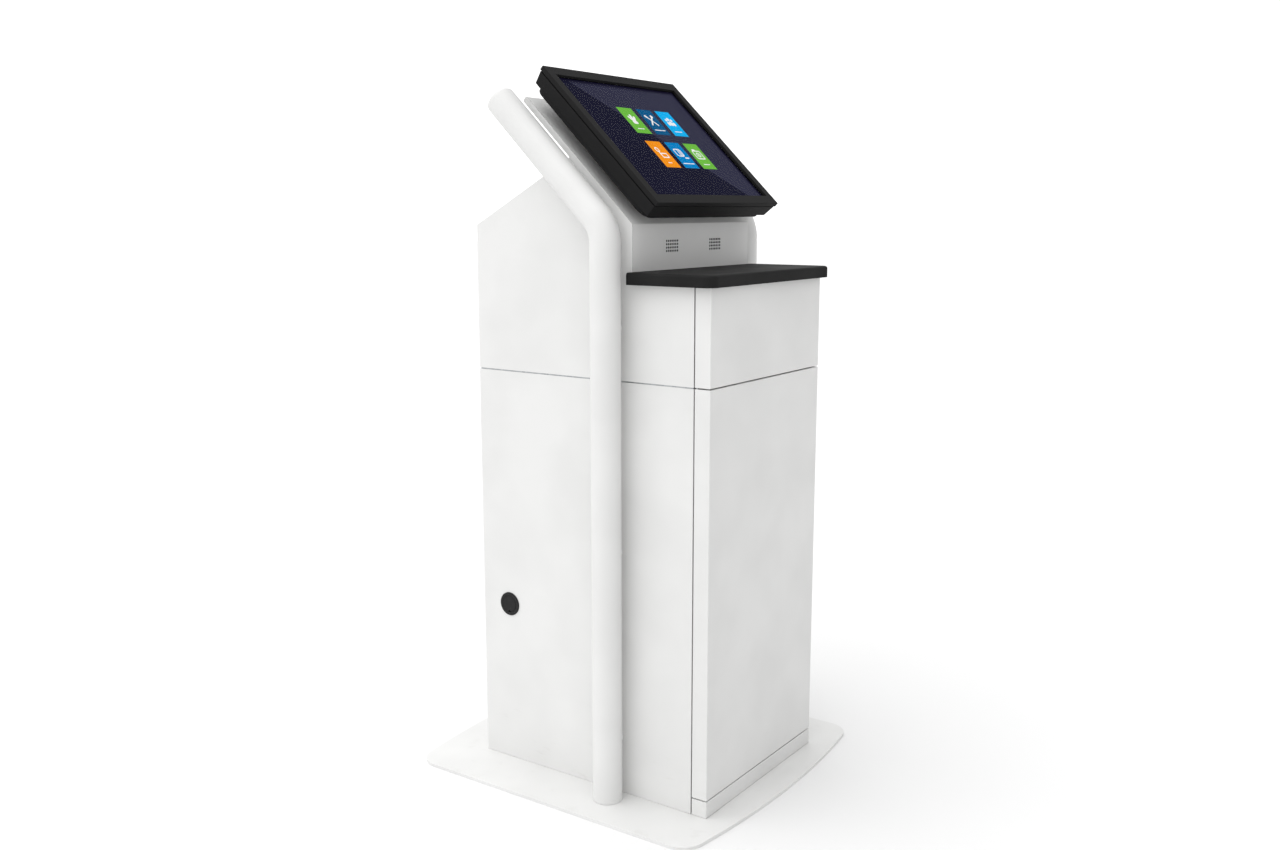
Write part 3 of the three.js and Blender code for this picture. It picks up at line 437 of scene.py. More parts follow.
# ---- Cable grommet ----
# A two-part moulded grommet snapped into the left side: a flanged ring, and a cap that turns in it
# to bring its finger notch round to the lead.
low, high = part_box("cable_grommet")
side_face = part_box("lower_side_left")[0].x
grommet_place = [side_face, (low.y + high.y) / 2, (low.z + high.z) / 2]
grommet_depth = side_face - high.x
flange_radius = (high.y - low.y) / 2
flange_top = side_face - low.x
flange_seat = 0.3 * MM
flange_round = 1.4 * MM
barrel_radius = 19 * MM
barrel_lead_in = 1 * MM
grommet_bore = 16.6 * MM
bore_chamfer = 0.5 * MM
flange_arc = quarter(flange_top - flange_round, flange_radius - flange_round, flange_round, 0, -90)
points, faces = skin(placed(spun([
    (grommet_bore, grommet_depth), (barrel_radius - barrel_lead_in / 2, grommet_depth),
    (barrel_radius, grommet_depth + barrel_lead_in), (barrel_radius, flange_seat),
    (flange_radius, flange_seat), *((r, w) for w, r in flange_arc),
    (grommet_bore + bore_chamfer, flange_top), (grommet_bore, flange_top - bore_chamfer),
], 96), -backward, upward, grommet_place), wrap=True)
piece("grommet_ring", points, faces, moulded_plastic, "cabinet", ["cable_grommet"])

cap_underside = -2 * MM
cap_radius = grommet_bore - 0.3 * MM
cap_round = 0.6 * MM
notch_radius = 3 * MM
dish_radius = 10 * MM
dish_depth = 0.35 * MM


def notched(inset, around=180):
    """Radius of the cap at each angle: the circle, or where the notch crosses it the near side of the notch's
    circle, R cos a - sqrt(n squared - R squared sin squared a) for an angle a from straight down."""
    away = np.linspace(0, 2 * math.pi, around, endpoint=False) + math.pi / 2
    n = notch_radius + inset
    cut = cap_radius * np.cos(away) - np.sqrt(np.maximum(n ** 2 - (cap_radius * np.sin(away)) ** 2, 0))
    crossed = (cap_radius * np.abs(np.sin(away)) < n) & (np.cos(away) > 0)
    return np.where(crossed, np.minimum(cut, cap_radius - inset), cap_radius - inset)


dish_floor = flange_top - dish_depth
points, faces = skin(placed(spun([
    (notched(cut_edge), cap_underside), (notched(0), cap_underside + cut_edge),
    (notched(0), flange_top - cap_round), (notched(cap_round / 3), flange_top - cap_round / 3),
    (notched(cap_round), flange_top), (dish_radius, flange_top),
    (0.9 * dish_radius, dish_floor), (0.1 * dish_radius, dish_floor),
], 180), -backward, upward, grommet_place))
piece("notched_cap", points, faces, moulded_plastic, "grommet_lid", ["grommet_cap"])

# ---- Equipment inside the lower cabinet ----
# A zinc-plated shelf carries a small black computer; a power strip with a rocker switch stands on the
# base plate behind it. The computer's button is turned, and zinc-plated like the shelf.
dressed("equipment_shelf", zinc, 0.3 * MM)
dressed("mini_pc", moulded_plastic, 1.2 * MM, 3)
dressed("power_strip", moulded_plastic, 0.8 * MM, 3)
dressed("power_rocker", moulded_plastic, 0.5 * MM)
low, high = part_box("pc_power_button")
button_radius = (high.x - low.x) / 2
button_length = high.y - low.y
button_chamfer = 0.4 * MM
groove_outer = 3.7 * MM
groove_inner = 3.1 * MM
groove_depth = 0.3 * MM
groove_flank = 0.2 * MM
groove_floor = button_length - groove_depth
dimple_depth = 0.2 * MM
points, faces = skin(placed(spun([
    (button_radius - cut_edge, 0), (button_radius, cut_edge), (button_radius, button_length - button_chamfer),
    (button_radius - button_chamfer, button_length), (groove_outer, button_length),
    (groove_outer - groove_flank, groove_floor), (groove_inner + groove_flank, groove_floor),
    (groove_inner, button_length), (button_chamfer, button_length - dimple_depth),
]), across, upward, [(low.x + high.x) / 2, high.y, (low.z + high.z) / 2]))
piece("turned_button", points, faces, zinc, "pc_button", ["pc_power_button"], sharp=30)


# ---- Folded trays across the front: plinth, door and upper cover ----
# Each is one sheet folded back on all four sides, with its corners welded and ground; the bend
# leaves a small round along every outer edge.
least_radius = 0.1 * MM


def rounded(corners, radii, steps=6):
    """An outline, anticlockwise, with an arc at each corner, as a function of how far it is set in.
    Set in by d, a corner moves by d (n1 + n2) / (1 + n1 . n2), where n1 and n2 are the inward normals of its
    two sides, and its arc shrinks by d where the outline turns left or grows by d where it turns right."""
    corners = np.array(corners, float)
    run = np.roll(corners, -1, 0) - corners
    run /= np.linalg.norm(run, axis=1)[:, None]
    after = np.column_stack([-run[:, 1], run[:, 0]])
    before = np.roll(after, 1, 0)
    mitre = (before + after) / (1 + (before * after).sum(1))[:, None]
    turn = np.arctan2(before[:, 0] * after[:, 1] - before[:, 1] * after[:, 0], (before * after).sum(1))
    way = np.sign(turn)[:, None]
    angle = np.arctan2(before[:, 1], before[:, 0])[:, None] + turn[:, None] * np.linspace(0, 1, steps + 1)
    ray = np.stack([np.cos(angle), np.sin(angle)], -1)
    radii = np.broadcast_to(radii, len(corners))[:, None]

    def at(inset):
        radius = np.maximum(radii - way * inset, least_radius)
        centre = corners + (inset + way * radius) * mitre
        return (centre[:, None] - (way * radius)[:, None] * ray).reshape(-1, 2)

    return at


def ring_stack(outline, profile):
    """The outline at each (inset, height) of a profile, one ring each, in its own u, v, w."""
    rings = [(outline(inset), height) for inset, height in profile]
    return np.array([np.column_stack([ring, np.full(len(ring), height)]) for ring, height in rings])


sheet = 1.5 * MM
inner_bend = 0.5 * MM
outer_bend = 1.6 * MM
welded_corner = 0.8 * MM


def folded_tray(low, high):
    """A tray open at the back: its outline lies in X and Z, and its profile runs round the sheet's section,
    from the inside of its face, over the return's edge, to the outside of its face."""
    corners = [(low.x, low.z), (high.x, low.z), (high.x, high.z), (low.x, high.z)]
    front, back = -low.y, -high.y
    profile = [(sheet + 2 * outer_bend, front - sheet)]
    profile += quarter(sheet + inner_bend, front - sheet - inner_bend, inner_bend, 0, 90, 3)
    profile += [(sheet, back + cut_edge), (sheet - cut_edge, back), (cut_edge, back), (0, back + cut_edge)]
    profile += quarter(outer_bend, front - outer_bend, outer_bend, 90, 0, 5)
    profile += [(3 * outer_bend, front)]
    return skin(placed(ring_stack(rounded(corners, welded_corner), profile), across, upward))


for node, name, body in (
    ("plinth_strip", "folded_plinth", "cabinet"),
    ("front_door", "folded_door", "door"),
    ("upper_front_cover", "folded_upper_cover", "cabinet"),
):
    points, faces = folded_tray(*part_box(node))
    piece(name, points, faces, white_coat, body, [node], sharp=50)


# ---- Door pivots ----
# Two ground steel pins, one through the door's lower and one through its upper left corner, with their
# ends chamfered so that the door lifts on.
pin_chamfer = 0.4 * MM
for end in ("lower", "upper"):
    low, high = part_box(f"door_pivot_{end}")
    pin_radius = (high.x - low.x) / 2
    points, faces = skin(placed(spun([
        (pin_radius - pin_chamfer, low.z), (pin_radius, low.z + pin_chamfer),
        (pin_radius, high.z - pin_chamfer), (pin_radius - pin_chamfer, high.z),
    ], 40), across, backward, [(low.x + high.x) / 2, (low.y + high.y) / 2, 0]))
    piece(f"ground_pin_{end}", points, faces, zinc, "door", [f"door_pivot_{end}"], sharp=30)

# ---- Lock ----
# A zinc die-cast cam lock in the door's right return: a collared barrel, a plug with a key slot that
# turns in it, and a flat hook on the plug's inner end.
dressed("lock_cam", zinc, 0.4 * MM)
low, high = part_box("lock_barrel")
lock_place = [0, (low.y + high.y) / 2, (low.z + high.z) / 2]
collar_radius = (high.z - low.z) / 2
collar_thickness = 2 * MM
collar_chamfer = 0.9 * MM
collar_foot = high.x - collar_thickness
barrel_outside = collar_radius - 2 * MM
plug_radius = (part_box("lock_plug")[1].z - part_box("lock_plug")[0].z) / 2
barrel_bore = plug_radius + 0.3 * MM
points, faces = skin(placed(spun([
    (barrel_bore, low.x), (barrel_outside, low.x),
    (barrel_outside, collar_foot), (collar_radius, collar_foot),
    (collar_radius, high.x - collar_chamfer), (collar_radius - collar_chamfer, high.x),
    (barrel_bore + cut_edge, high.x), (barrel_bore, high.x - cut_edge),
], 96), backward, upward, lock_place), wrap=True)
piece("collared_barrel", points, faces, zinc, "door", ["lock_barrel"], sharp=30)

slot_half_width = 0.7 * MM
slot_half_length = 3.2 * MM
slot_depth = 4 * MM
slot_angle = np.linspace(0, 2 * math.pi, 144, endpoint=False)
# the key slot's outline in polar form: the nearer of its side and its end along each ray
key_slot = np.minimum(
    slot_half_width / np.maximum(np.abs(np.cos(slot_angle)), 1e-6),
    slot_half_length / np.maximum(np.abs(np.sin(slot_angle)), 1e-6),
)
points, faces = skin(placed(spun([
    (plug_radius - cut_edge, low.x), (plug_radius, low.x + cut_edge), (plug_radius, high.x - cut_edge),
    (plug_radius - cut_edge, high.x), (key_slot, high.x), (key_slot, high.x - slot_depth),
], 144), backward, upward, lock_place))
piece("slotted_plug", points, faces, zinc, "lock_core", ["lock_plug"], sharp=30)

# ---- Upper cabinet ----
# Two laser-cut side sheets whose arms carry on behind the monitor, each with a stop flange along its
# front; a rear sheet between them, and a roof that slopes up to the back of the neck.
for node in ("upper_rear_panel", "roof_panel"):
    dressed(node, white_coat, 0.25 * MM)

arm_front = 26 * MM
arm_back = 15 * MM
arm_top = 308 * MM
rear_height = 1063.3 * MM
roof_slope = math.tan(math.radians(28.2))
neck_face = -123.1 * MM
# how far along the slant the arms' front line meets the neck's upright face
crease = (neck_face - knee_y + arm_front * math.cos(lean)) / math.sin(lean)
laser_edge = 0.2 * MM
flange_gap = 0.2 * MM
cover_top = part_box("upper_front_cover")[1].z


def on_slant(along, forward):
    """Y and Z of a point so far along the tubes' slant, and so far in front of their axis plane."""
    return tuple((np.array([0, knee_y, knee_z]) + along * up_slant + forward * to_user)[1:])


for side, sign in (("left", -1), ("right", 1)):
    low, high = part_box(f"upper_side_{side}")
    arm_y, arm_z = on_slant(0, arm_back)
    # how far along the slant the roof's line meets the back of the arm
    roof_drop = rear_height + (high.y - arm_y) * roof_slope - arm_z
    apex = roof_drop / (math.cos(lean) + math.sin(lean) * roof_slope)
    outline = rounded([
        (low.y, low.z), (high.y, low.z), (high.y, rear_height), on_slant(apex, arm_back),
        on_slant(arm_top, arm_back), on_slant(arm_top, arm_front), on_slant(crease, arm_front),
        (neck_face, cover_top), (low.y, cover_top),
    ], np.array([0.3, 0.3, 1, 1, 5, 2, 0.5, 0.3, 0.3]) * MM)
    start = low.x if sign < 0 else high.x - sheet
    plate = ring_stack(outline, [
        (laser_edge, start), (0, start + laser_edge),
        (0, start + sheet - laser_edge), (laser_edge, start + sheet),
    ])
    inside = high.x - flange_gap if sign < 0 else low.x + flange_gap
    near, far = sorted([inside, start + sheet / 2])
    flange = rounded([(near, low.z), (far, low.z), (far, cover_top), (near, cover_top)], cut_edge)
    fold = ring_stack(flange, [
        (laser_edge, -low.y - sheet), (0, -low.y - sheet + laser_edge),
        (0, -low.y - laser_edge), (laser_edge, -low.y),
    ])
    points, faces = joined([skin(placed(plate, backward, upward)), skin(placed(fold, across, upward))])
    name = f"armed_side_{side}"
    piece(name, points, faces, white_coat, "cabinet", [f"upper_side_{side}"], sharp=50)


# ---- Neck ----
# One 1.5 mm steel sheet between the two side sheets: upright behind the worktop, with two punched
# speaker grilles, bent back 46 degrees behind the monitor, and turned back once more at its top.
def blank(x_lines, s_lines, holes, around=24):
    """A flat sheet as a grid of x and s, the distance up the sheet. The square cell round each hole (x, s,
    radius) is filled from its four corners to a ring of points on the hole's edge, and the other cells are
    single faces."""
    x_lines, s_lines, holes = np.array(x_lines), np.array(s_lines), np.array(holes)
    rows = len(s_lines)
    grid = np.stack(np.meshgrid(x_lines, s_lines, indexing="ij"), -1).reshape(-1, 2)
    i = np.arange(len(x_lines) - 1)[:, None]
    j = np.arange(rows - 1)[None, :]
    cells = np.stack([i * rows + j, (i + 1) * rows + j, (i + 1) * rows + j + 1, i * rows + j + 1], -1)
    column = np.searchsorted(x_lines, holes[:, 0]) - 1
    row = np.searchsorted(s_lines, holes[:, 1]) - 1
    angle = np.linspace(-math.pi, math.pi, around, endpoint=False)
    edge = holes[:, None, :2] + holes[:, 2, None, None] * np.column_stack([np.cos(angle), np.sin(angle)])
    ring = len(grid) + np.arange(len(holes) * around).reshape(-1, around)
    corners = cells[column, row]
    per_side = around // 4
    fans = np.stack([
        np.repeat(corners, per_side, 1), np.roll(ring, -1, 1), ring,
    ], -1)
    sides = np.stack([corners, np.roll(corners, -1, 1), np.roll(ring, -1, 1)[:, per_side - 1::per_side]], -1)
    solid = np.ones(cells.shape[:2], bool)
    solid[column, row] = False
    faces = cells[solid].tolist() + fans.reshape(-1, 3).tolist() + sides.reshape(-1, 3).tolist()
    return np.concatenate([grid, edge.reshape(-1, 2)]), faces


def cut_steel_with_painted_shade(name):
    """Bare steel where the coated sheet was punched, streaked the way the punch went, but coloured far darker
    than steel is, as painted shade in the grille holes and along the cut edges.
    """
    material, tree, place = new_finish(name)
    drawn_out = add(tree, "Mapping", {"Vector": place, "Scale": (1, 0.1, 1)})
    streaks = add(tree, "TexNoise", {"Vector": drawn_out, "Scale": 1 / (0.3 * MM)})
    close_finish(tree, {
        # painted shade: these greys stand for the shade in the holes, not for the steel's own colour
        "Base Color": add(tree, "Mix", {0: streaks, 6: "#3c3d3f", 7: "#545557"}, 2, data_type="RGBA"),
        "Metallic": 1.0,
        "Roughness": add(tree, "MapRange", {
            "Value": streaks, "From Min": 0.3, "From Max": 0.7, "To Min": 0.4, "To Max": 0.6,
        }),
    })
    return material


low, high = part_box("neck_panel")
fit_gap = 0.3 * MM
crease_radius = 3 * MM
crease_setback = crease_radius * math.tan(lean / 2)
lip_radius = 2.5 * MM
neck_lip = arm_front - arm_back - fit_gap
upright = on_slant(crease, arm_front)[1] - low.z - crease_setback
bend_one = upright + crease_radius * lean
slope_end = bend_one + arm_top - fit_gap - crease - crease_setback - lip_radius
bend_two = slope_end + lip_radius * math.pi / 2
neck_end = bend_two + neck_lip - lip_radius
grille_columns = 7
grille_rows = 4
grille_pitch = 6 * MM
grille_hole = 2.1 * MM
grille_x = 74 * MM
grille_s = 1027 * MM - low.z
cable_radius = 26 * MM
cable_cell = 30 * MM
head_along = 135.5 * MM
cable_s = bend_one + head_along - crease - crease_setback
x_lines = [low.x, -cable_cell, cable_cell, high.x]
x_lines += [
    side * grille_x + (k - grille_columns / 2) * grille_pitch
    for side in (-1, 1) for k in range(grille_columns + 1)
]
s_lines = [0, *(grille_s + (k - grille_rows / 2) * grille_pitch for k in range(grille_rows + 1))]
s_lines += [*np.linspace(upright, bend_one, 7), cable_s - cable_cell, cable_s + cable_cell]
s_lines += [*np.linspace(slope_end, bend_two, 7), neck_end]
holes = [(0, cable_s, cable_radius)] + [
    (
        side * grille_x + (column - (grille_columns - 1) / 2) * grille_pitch,
        grille_s + (row - (grille_rows - 1) / 2) * grille_pitch,
        grille_hole,
    )
    for side in (-1, 1) for column in range(grille_columns) for row in range(grille_rows)
]
x_lines, s_lines = np.sort(x_lines), np.array(s_lines)
flat, faces = blank(x_lines, s_lines, holes)
# the sheet's lean at each line; a stretch of length l that turns by t has the chord l sin(t / 2) / (t / 2)
leans = np.interp(
    s_lines, [0, upright, bend_one, slope_end, bend_two, neck_end],
    [0, 0, lean, lean, lean + math.pi / 2, lean + math.pi / 2],
)
chord = np.diff(s_lines) * np.sinc(np.diff(leans) / (2 * math.pi))
middle = (leans[1:] + leans[:-1]) / 2
path_y = neck_face + np.concatenate([[0], np.cumsum(chord * np.sin(middle))])
path_z = low.z + np.concatenate([[0], np.cumsum(chord * np.cos(middle))])
points = np.column_stack([
    flat[:, 0], np.interp(flat[:, 1], s_lines, path_y), np.interp(flat[:, 1], s_lines, path_z),
])
# the sheet's cut edges take the bare steel, painted dark as shade
neck_finish = [white_coat, cut_steel_with_painted_shade("bare_cut_edge_painted_dark")]
piece(
    "bent_neck", points, faces, neck_finish, "cabinet", ["neck_panel"],
    sharp=60, wall=sheet, edge=0.1 * MM,
)
dressed("neck_backing_plate", zinc, 0.3 * MM)

# ---- Speakers ----
# Two small full-range speakers in moulded boxes, each with a shallow black cone, screwed on behind the
# grilles.
for side in ("left", "right"):
    dressed(f"speaker_{side}", moulded_plastic, 0.6 * MM)


# ---- Worktop ----
# A 21 mm board of black compact laminate with a round routed along its upper edge and its two front
# corners, screwed to two zinc-plated brackets inside the upper cabinet.
def compact_laminate(name):
    """Matt black laminate: a fine pearl grain in the pressed face, slightly greyer where hands rub."""
    material, tree, place = new_finish(name)
    pearl = add(tree, "TexNoise", {"Vector": place, "Scale": 1 / (1.2 * MM)})
    rubbed = add(tree, "TexNoise", {"Vector": place, "Scale": 1 / (110 * MM), "Detail": 3.0})
    greyed = add(tree, "MapRange", {"Value": rubbed, "From Min": 0.3, "From Max": 0.7})
    close_finish(tree, {
        "Base Color": add(tree, "Mix", {0: greyed, 6: "#1a1a1a", 7: "#1f1f1f"}, 2, data_type="RGBA"),
        "Roughness": add(tree, "MapRange", {"Value": greyed, "To Min": 0.7, "To Max": 0.6}),
        "Specular IOR Level": 0.12,
        "Normal": add(tree, "Bump", {"Height": pearl, "Distance": 0.04 * MM, "Strength": 0.5}),
    })
    return material


laminate = compact_laminate("black_compact_laminate")
low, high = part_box("shelf")
shelf_corner = 21 * MM
routed_round = 5 * MM
under_round = 0.7 * MM
under_flat = 4 * MM
top_flat = 9 * MM
whole_outline = rounded(
    [(low.x, low.y), (high.x, low.y), (high.x, high.y), (low.x, high.y)],
    [shelf_corner, shelf_corner, least_radius, least_radius], 12,
)


def worktop_outline(inset):
    """The plan set in on its front and ends only, so that the back stays flat against the neck."""
    plan = whole_outline(inset)
    plan[plan[:, 1] > high.y - inset - 1.1 * least_radius, 1] = high.y
    return plan


profile = [(under_flat, low.z)] + quarter(under_round, low.z + under_round, under_round, 180, 90, 3)
profile += quarter(routed_round, high.z - routed_round, routed_round, 90, 0, 8) + [(top_flat, high.z)]
points, faces = skin(ring_stack(worktop_outline, profile))
piece("laminate_worktop", points, faces, laminate, "cabinet", ["shelf"])
for side in ("left", "right"):
    dressed(f"shelf_bracket_{side}", zinc, 0.3 * MM)


# ---- Monitor mount ----
# A folded steel box in fine-textured black powder coat, screwed to the neck. Four M4 button-head
# screws with hexagon sockets go through its face into the monitor's 100 mm square of threads.
def textured_black_coat(name):
    """Black powder coat with a fine even texture, drawn with a 0.9 mm grain."""
    material, tree, place = new_finish(name)
    grain = add(tree, "TexNoise", {"Vector": place, "Scale": 1 / (0.9 * MM)})
    mottle = add(tree, "TexNoise", {"Vector": place, "Scale": 1 / (90 * MM)})
    close_finish(tree, {
        "Base Color": add(tree, "Mix", {0: mottle, 6: "#171718", 7: "#1d1d1d"}, 2, data_type="RGBA"),
        "Roughness": add(tree, "MapRange", {
            "Value": grain, "From Min": 0.3, "From Max": 0.7, "To Min": 0.62, "To Max": 0.74,
        }),
        "Specular IOR Level": 0.12,
        "Normal": add(tree, "Bump", {"Height": grain, "Distance": 0.05 * MM, "Strength": 0.6}),
    })
    return material


black_coat = textured_black_coat("textured_black_powder_coat")
dressed("monitor_mount", black_coat, 0.6 * MM)
head_centre = np.array([0, knee_y, knee_z]) + head_along * up_slant
screw_pitch = 100 * MM
screw_seat = 46.4 * MM
screw_tip = screw_seat + 9 * MM
shank_radius = 2 * MM
shank_chamfer = 0.4 * MM
button_radius = 4 * MM
button_height = 2.6 * MM
button_flat = 2.2 * MM
button_back = screw_seat - button_height
button_round = button_radius - button_flat
button_arc = quarter(button_back + button_round, button_flat, button_round, 90, 0, 5)
socket_flats = 2.5 * MM
socket_depth = 1.5 * MM
socket = hexagon(socket_flats)
for rise, v in (("upper", 1), ("lower", -1)):
    for side, u in (("left", -1), ("right", 1)):
        node = f"vesa_screw_{rise}_{side}"
        place = head_centre + (u * across + v * up_slant) * screw_pitch / 2
        points, faces = skin(placed(spun([
            (socket, button_back + socket_depth), (socket, button_back), (button_flat, button_back),
            *((r, w) for w, r in button_arc),
            (button_radius, screw_seat), (shank_radius, screw_seat),
            (shank_radius, screw_tip - shank_chamfer), (shank_radius - shank_chamfer, screw_tip),
        ]), across, up_slant, place))
        piece(f"button_{node}", points, faces, zinc, "cabinet", [node], sharp=30)


# ---- Monitor housing ----
# A pressed steel pan that narrows slightly to the rear, with a shallower box on its back that has
# 23 mm corners, in the same textured black powder coat. A gap of 2.3 mm parts it from the bezel.
head_width = 419.8 * MM
head_height = 346.5 * MM


def rectangle(width, height, radius, steps=6):
    """A rounded rectangle about the middle, as a function of how far it is set in."""
    x, y = width / 2, height / 2
    return rounded([(-x, -y), (x, -y), (x, y), (-x, y)], radius, steps)


def on_head(rings, wrap=False):
    """A skin over rings in the monitor's frame: u across, v up the slant, w towards the user."""
    return skin(placed(rings, across, up_slant, head_centre), wrap)


pan_front = 84 * MM
pan_back = 59 * MM
box_back = 50 * MM
pan_corner = 2.5 * MM
pan_bend = 1.5 * MM
box_corner = 23 * MM
box_bend = 2.5 * MM
# how far each outline stands inside the bezel's on either side
mouth_step = 1.4 * MM
floor_step_across = 5.6 * MM
floor_step_along = 3.5 * MM
box_step = 7.6 * MM
inner_ring = 8 * MM
pan_mouth = rectangle(head_width - 2 * mouth_step, head_height - 2 * mouth_step, pan_corner)
pan_floor = rectangle(head_width - 2 * floor_step_across, head_height - 2 * floor_step_along, pan_corner)
back_box = rectangle(head_width - 2 * box_step, head_height - 2 * box_step, box_corner)
rings = np.concatenate([
    ring_stack(back_box, [(inner_ring, box_back)]),
    ring_stack(back_box, quarter(box_bend, box_back + box_bend, box_bend, 180, 90, 5) + [(0, pan_back)]),
    ring_stack(pan_floor, quarter(pan_bend, pan_back + pan_bend, pan_bend, 180, 90, 4)),
    ring_stack(pan_mouth, [
        (0, pan_front - cut_edge), (cut_edge, pan_front), (sheet - cut_edge, pan_front),
        (sheet, pan_front - cut_edge),
    ]),
    ring_stack(pan_floor, [(sheet, pan_back + sheet)]),
    ring_stack(back_box, [
        (sheet, pan_back + sheet), (sheet, box_back + sheet), (inner_ring, box_back + sheet),
    ]),
])
points, faces = on_head(rings)
piece("housing_pan", points, faces, black_coat, "cabinet", ["monitor_housing"])


# ---- Controller board ----
# The monitor's driver board: glass-epoxy laminate under green solder resist, with copper tracks
# that show through it as a lighter green.
def solder_resist(name):
    """Glossy green resist over straight tracks 2 mm apart, which start and stop at square cells about 14 mm
    across."""
    material, tree, place = new_finish(name)
    cell = add(tree, "TexVoronoi", {"Vector": place, "Scale": 1 / (14 * MM)}, "Color", distance="CHEBYCHEV")
    filled = add(tree, "TexWave", {"Vector": cell, "Scale": 1.0}, wave_type="RINGS")
    # a wave repeats 1 / 0.31 times less often than its scale says
    lines = add(tree, "TexWave", {"Vector": place, "Scale": 0.31 / (2 * MM)}, bands_direction="X")
    copper = add(tree, "Math", {
        0: add(tree, "MapRange", {"Value": filled, "From Min": 0.3, "From Max": 0.5}),
        1: add(tree, "MapRange", {"Value": lines, "From Min": 0.5, "From Max": 0.6}),
    }, operation="MULTIPLY")
    close_finish(tree, {
        "Base Color": add(tree, "Mix", {0: copper, 6: "#1b5433", 7: "#3f8a52"}, 2, data_type="RGBA"),
        "Roughness": add(tree, "MapRange", {"Value": lines, "To Min": 0.25, "To Max": 0.35}),
    })
    return material


dressed("controller_board", solder_resist("green_solder_resist"), 0.1 * MM)


# ---- Display ----
# A 19-inch LCD module: a black moulded tray, and in front of it the lit panel, which shows a navy
# ground with a lighter half above its diagonal, which is a painted glare, and a darker edge, which is
# painted shade of the bezel's reveal.
def lit_finish(name, colour_of):
    """A lit panel: black by itself, it gives off the colour that colour_of works out from tree and place."""
    material, tree, place = new_finish(name)
    close_finish(tree, {
        "Base Color": (0, 0, 0, 1),
        "Roughness": 0.5,
        "Specular IOR Level": 0.0,
        "Emission Color": colour_of(tree, place),
        "Emission Strength": 1.0,
    })
    return material


opening_width = 381.5 * MM
opening_height = 304.1 * MM
# width of the painted shade along the opening's edges
edge_shade = 9 * MM


def navy_with_painted_glare_and_shade(tree, place):
    """Navy, lighter where x + v is above the diagonal, which is a painted glare, and darker within edge_shade
    of the opening's sides, which is painted shade of the bezel's reveal; v is the dot product of the place
    with the slant. The backlight is uneven in patches about 90 mm across."""
    x = add(tree, "SeparateXYZ", {"Vector": place}, "X")
    slant = add(tree, "VectorMath", {0: place, 1: up_slant}, "Value", operation="DOT_PRODUCT")
    v = add(tree, "Math", {0: slant, 1: float(head_centre @ up_slant)}, operation="SUBTRACT")
    diagonal = add(tree, "Math", {0: x, 1: v}, operation="ADD")
    # painted glare: the half above the diagonal glows lighter, as a reflection on the glass would make it
    # look
    above = add(tree, "MapRange", {"Value": diagonal, "From Min": -3.5 * MM, "From Max": -2.5 * MM})
    # painted shade: the ground darkens within edge_shade of the opening, in place of the shade the bezel's
    # reveal casts
    aside = add(tree, "Math", {0: x}, operation="ABSOLUTE")
    past_side = add(tree, "Math", {0: aside, 1: opening_width / 2}, operation="SUBTRACT")
    away = add(tree, "Math", {0: v}, operation="ABSOLUTE")
    past_end = add(tree, "Math", {0: away, 1: opening_height / 2}, operation="SUBTRACT")
    past_edge = add(tree, "Math", {0: past_side, 1: past_end}, operation="MAXIMUM")
    painted_edge_shade = add(tree, "MapRange", {"Value": past_edge, "From Min": -edge_shade, "From Max": 0})
    backlight = add(tree, "TexNoise", {"Vector": place, "Scale": 1 / (90 * MM)})
    uneven = add(tree, "MapRange", {"Value": backlight, "From Min": 0.3, "From Max": 0.7, "To Max": 0.5})
    lower = add(tree, "Mix", {0: uneven, 6: "#1d1d30", 7: "#1a1a2b"}, 2, data_type="RGBA")
    # the lighter navy is the painted glare
    upper = add(tree, "Mix", {0: uneven, 6: "#343448", 7: "#303043"}, 2, data_type="RGBA")
    ground = add(tree, "Mix", {0: above, 6: lower, 7: upper}, 2, data_type="RGBA")
    # the painted edge shade goes over the ground last
    return add(tree, "Mix", {0: painted_edge_shade, 6: ground, 7: "#131124"}, 2, data_type="RGBA")


dressed("lcd_panel", moulded_plastic, 0.6 * MM)
panel_back = 86.03 * MM
panel_front = 86.25 * MM


def slab(outline, low, high):
    """Two rings that close to a slab with this outline from one height to another."""
    return ring_stack(outline, [(0, low), (0, high)])


panel_lap = 2.5 * MM
panel_corner = 1 * MM
lit_area = rectangle(opening_width + 2 * panel_lap, opening_height + 2 * panel_lap, panel_corner)
points, faces = on_head(slab(lit_area, panel_back, panel_front))
# the picture carries a painted glare and a painted shade along its edge
navy_finish = lit_finish("lit_navy_glow_painted_glare_shade", navy_with_painted_glare_and_shade)
piece("lit_panel", points, faces, navy_finish, "cabinet", sharp=30)

# ---- Tiles on the display ----
# Two rows of three coloured tiles, each with a white pictogram and a dashed bar in place of its
# caption. They are drawn as thin layers just in front of the lit panel.
tile_width = 48 * MM
tile_height = 69.5 * MM
tile_pitch = (63.3 * MM, 90.7 * MM)
tiles_middle = (21.3 * MM, 8.1 * MM)
tile_front = 86.33 * MM
mark_front = 86.41 * MM


def mark(centre, x, v, width, height, radius, turn=0, line=0):
    """A rounded bar, turned by so many degrees, or with a line width only its outline. Sizes are in mm."""
    outline = rectangle(width * MM, height * MM, radius * MM, 5)
    rings = slab(outline, tile_front, mark_front)
    if line:
        inside = slab(outline, mark_front, tile_front)
        inside[0, :, :2] = outline(line * MM)
        inside[1, :, :2] = outline(line * MM)
        rings = np.concatenate([rings, inside])
    cos, sin = math.cos(math.radians(turn)), math.sin(math.radians(turn))
    rings = rings @ np.array([[cos, sin, 0], [-sin, cos, 0], [0, 0, 1]])
    return on_head(rings + np.array([centre[0] + x * MM, centre[1] + v * MM, 0]), wrap=bool(line))


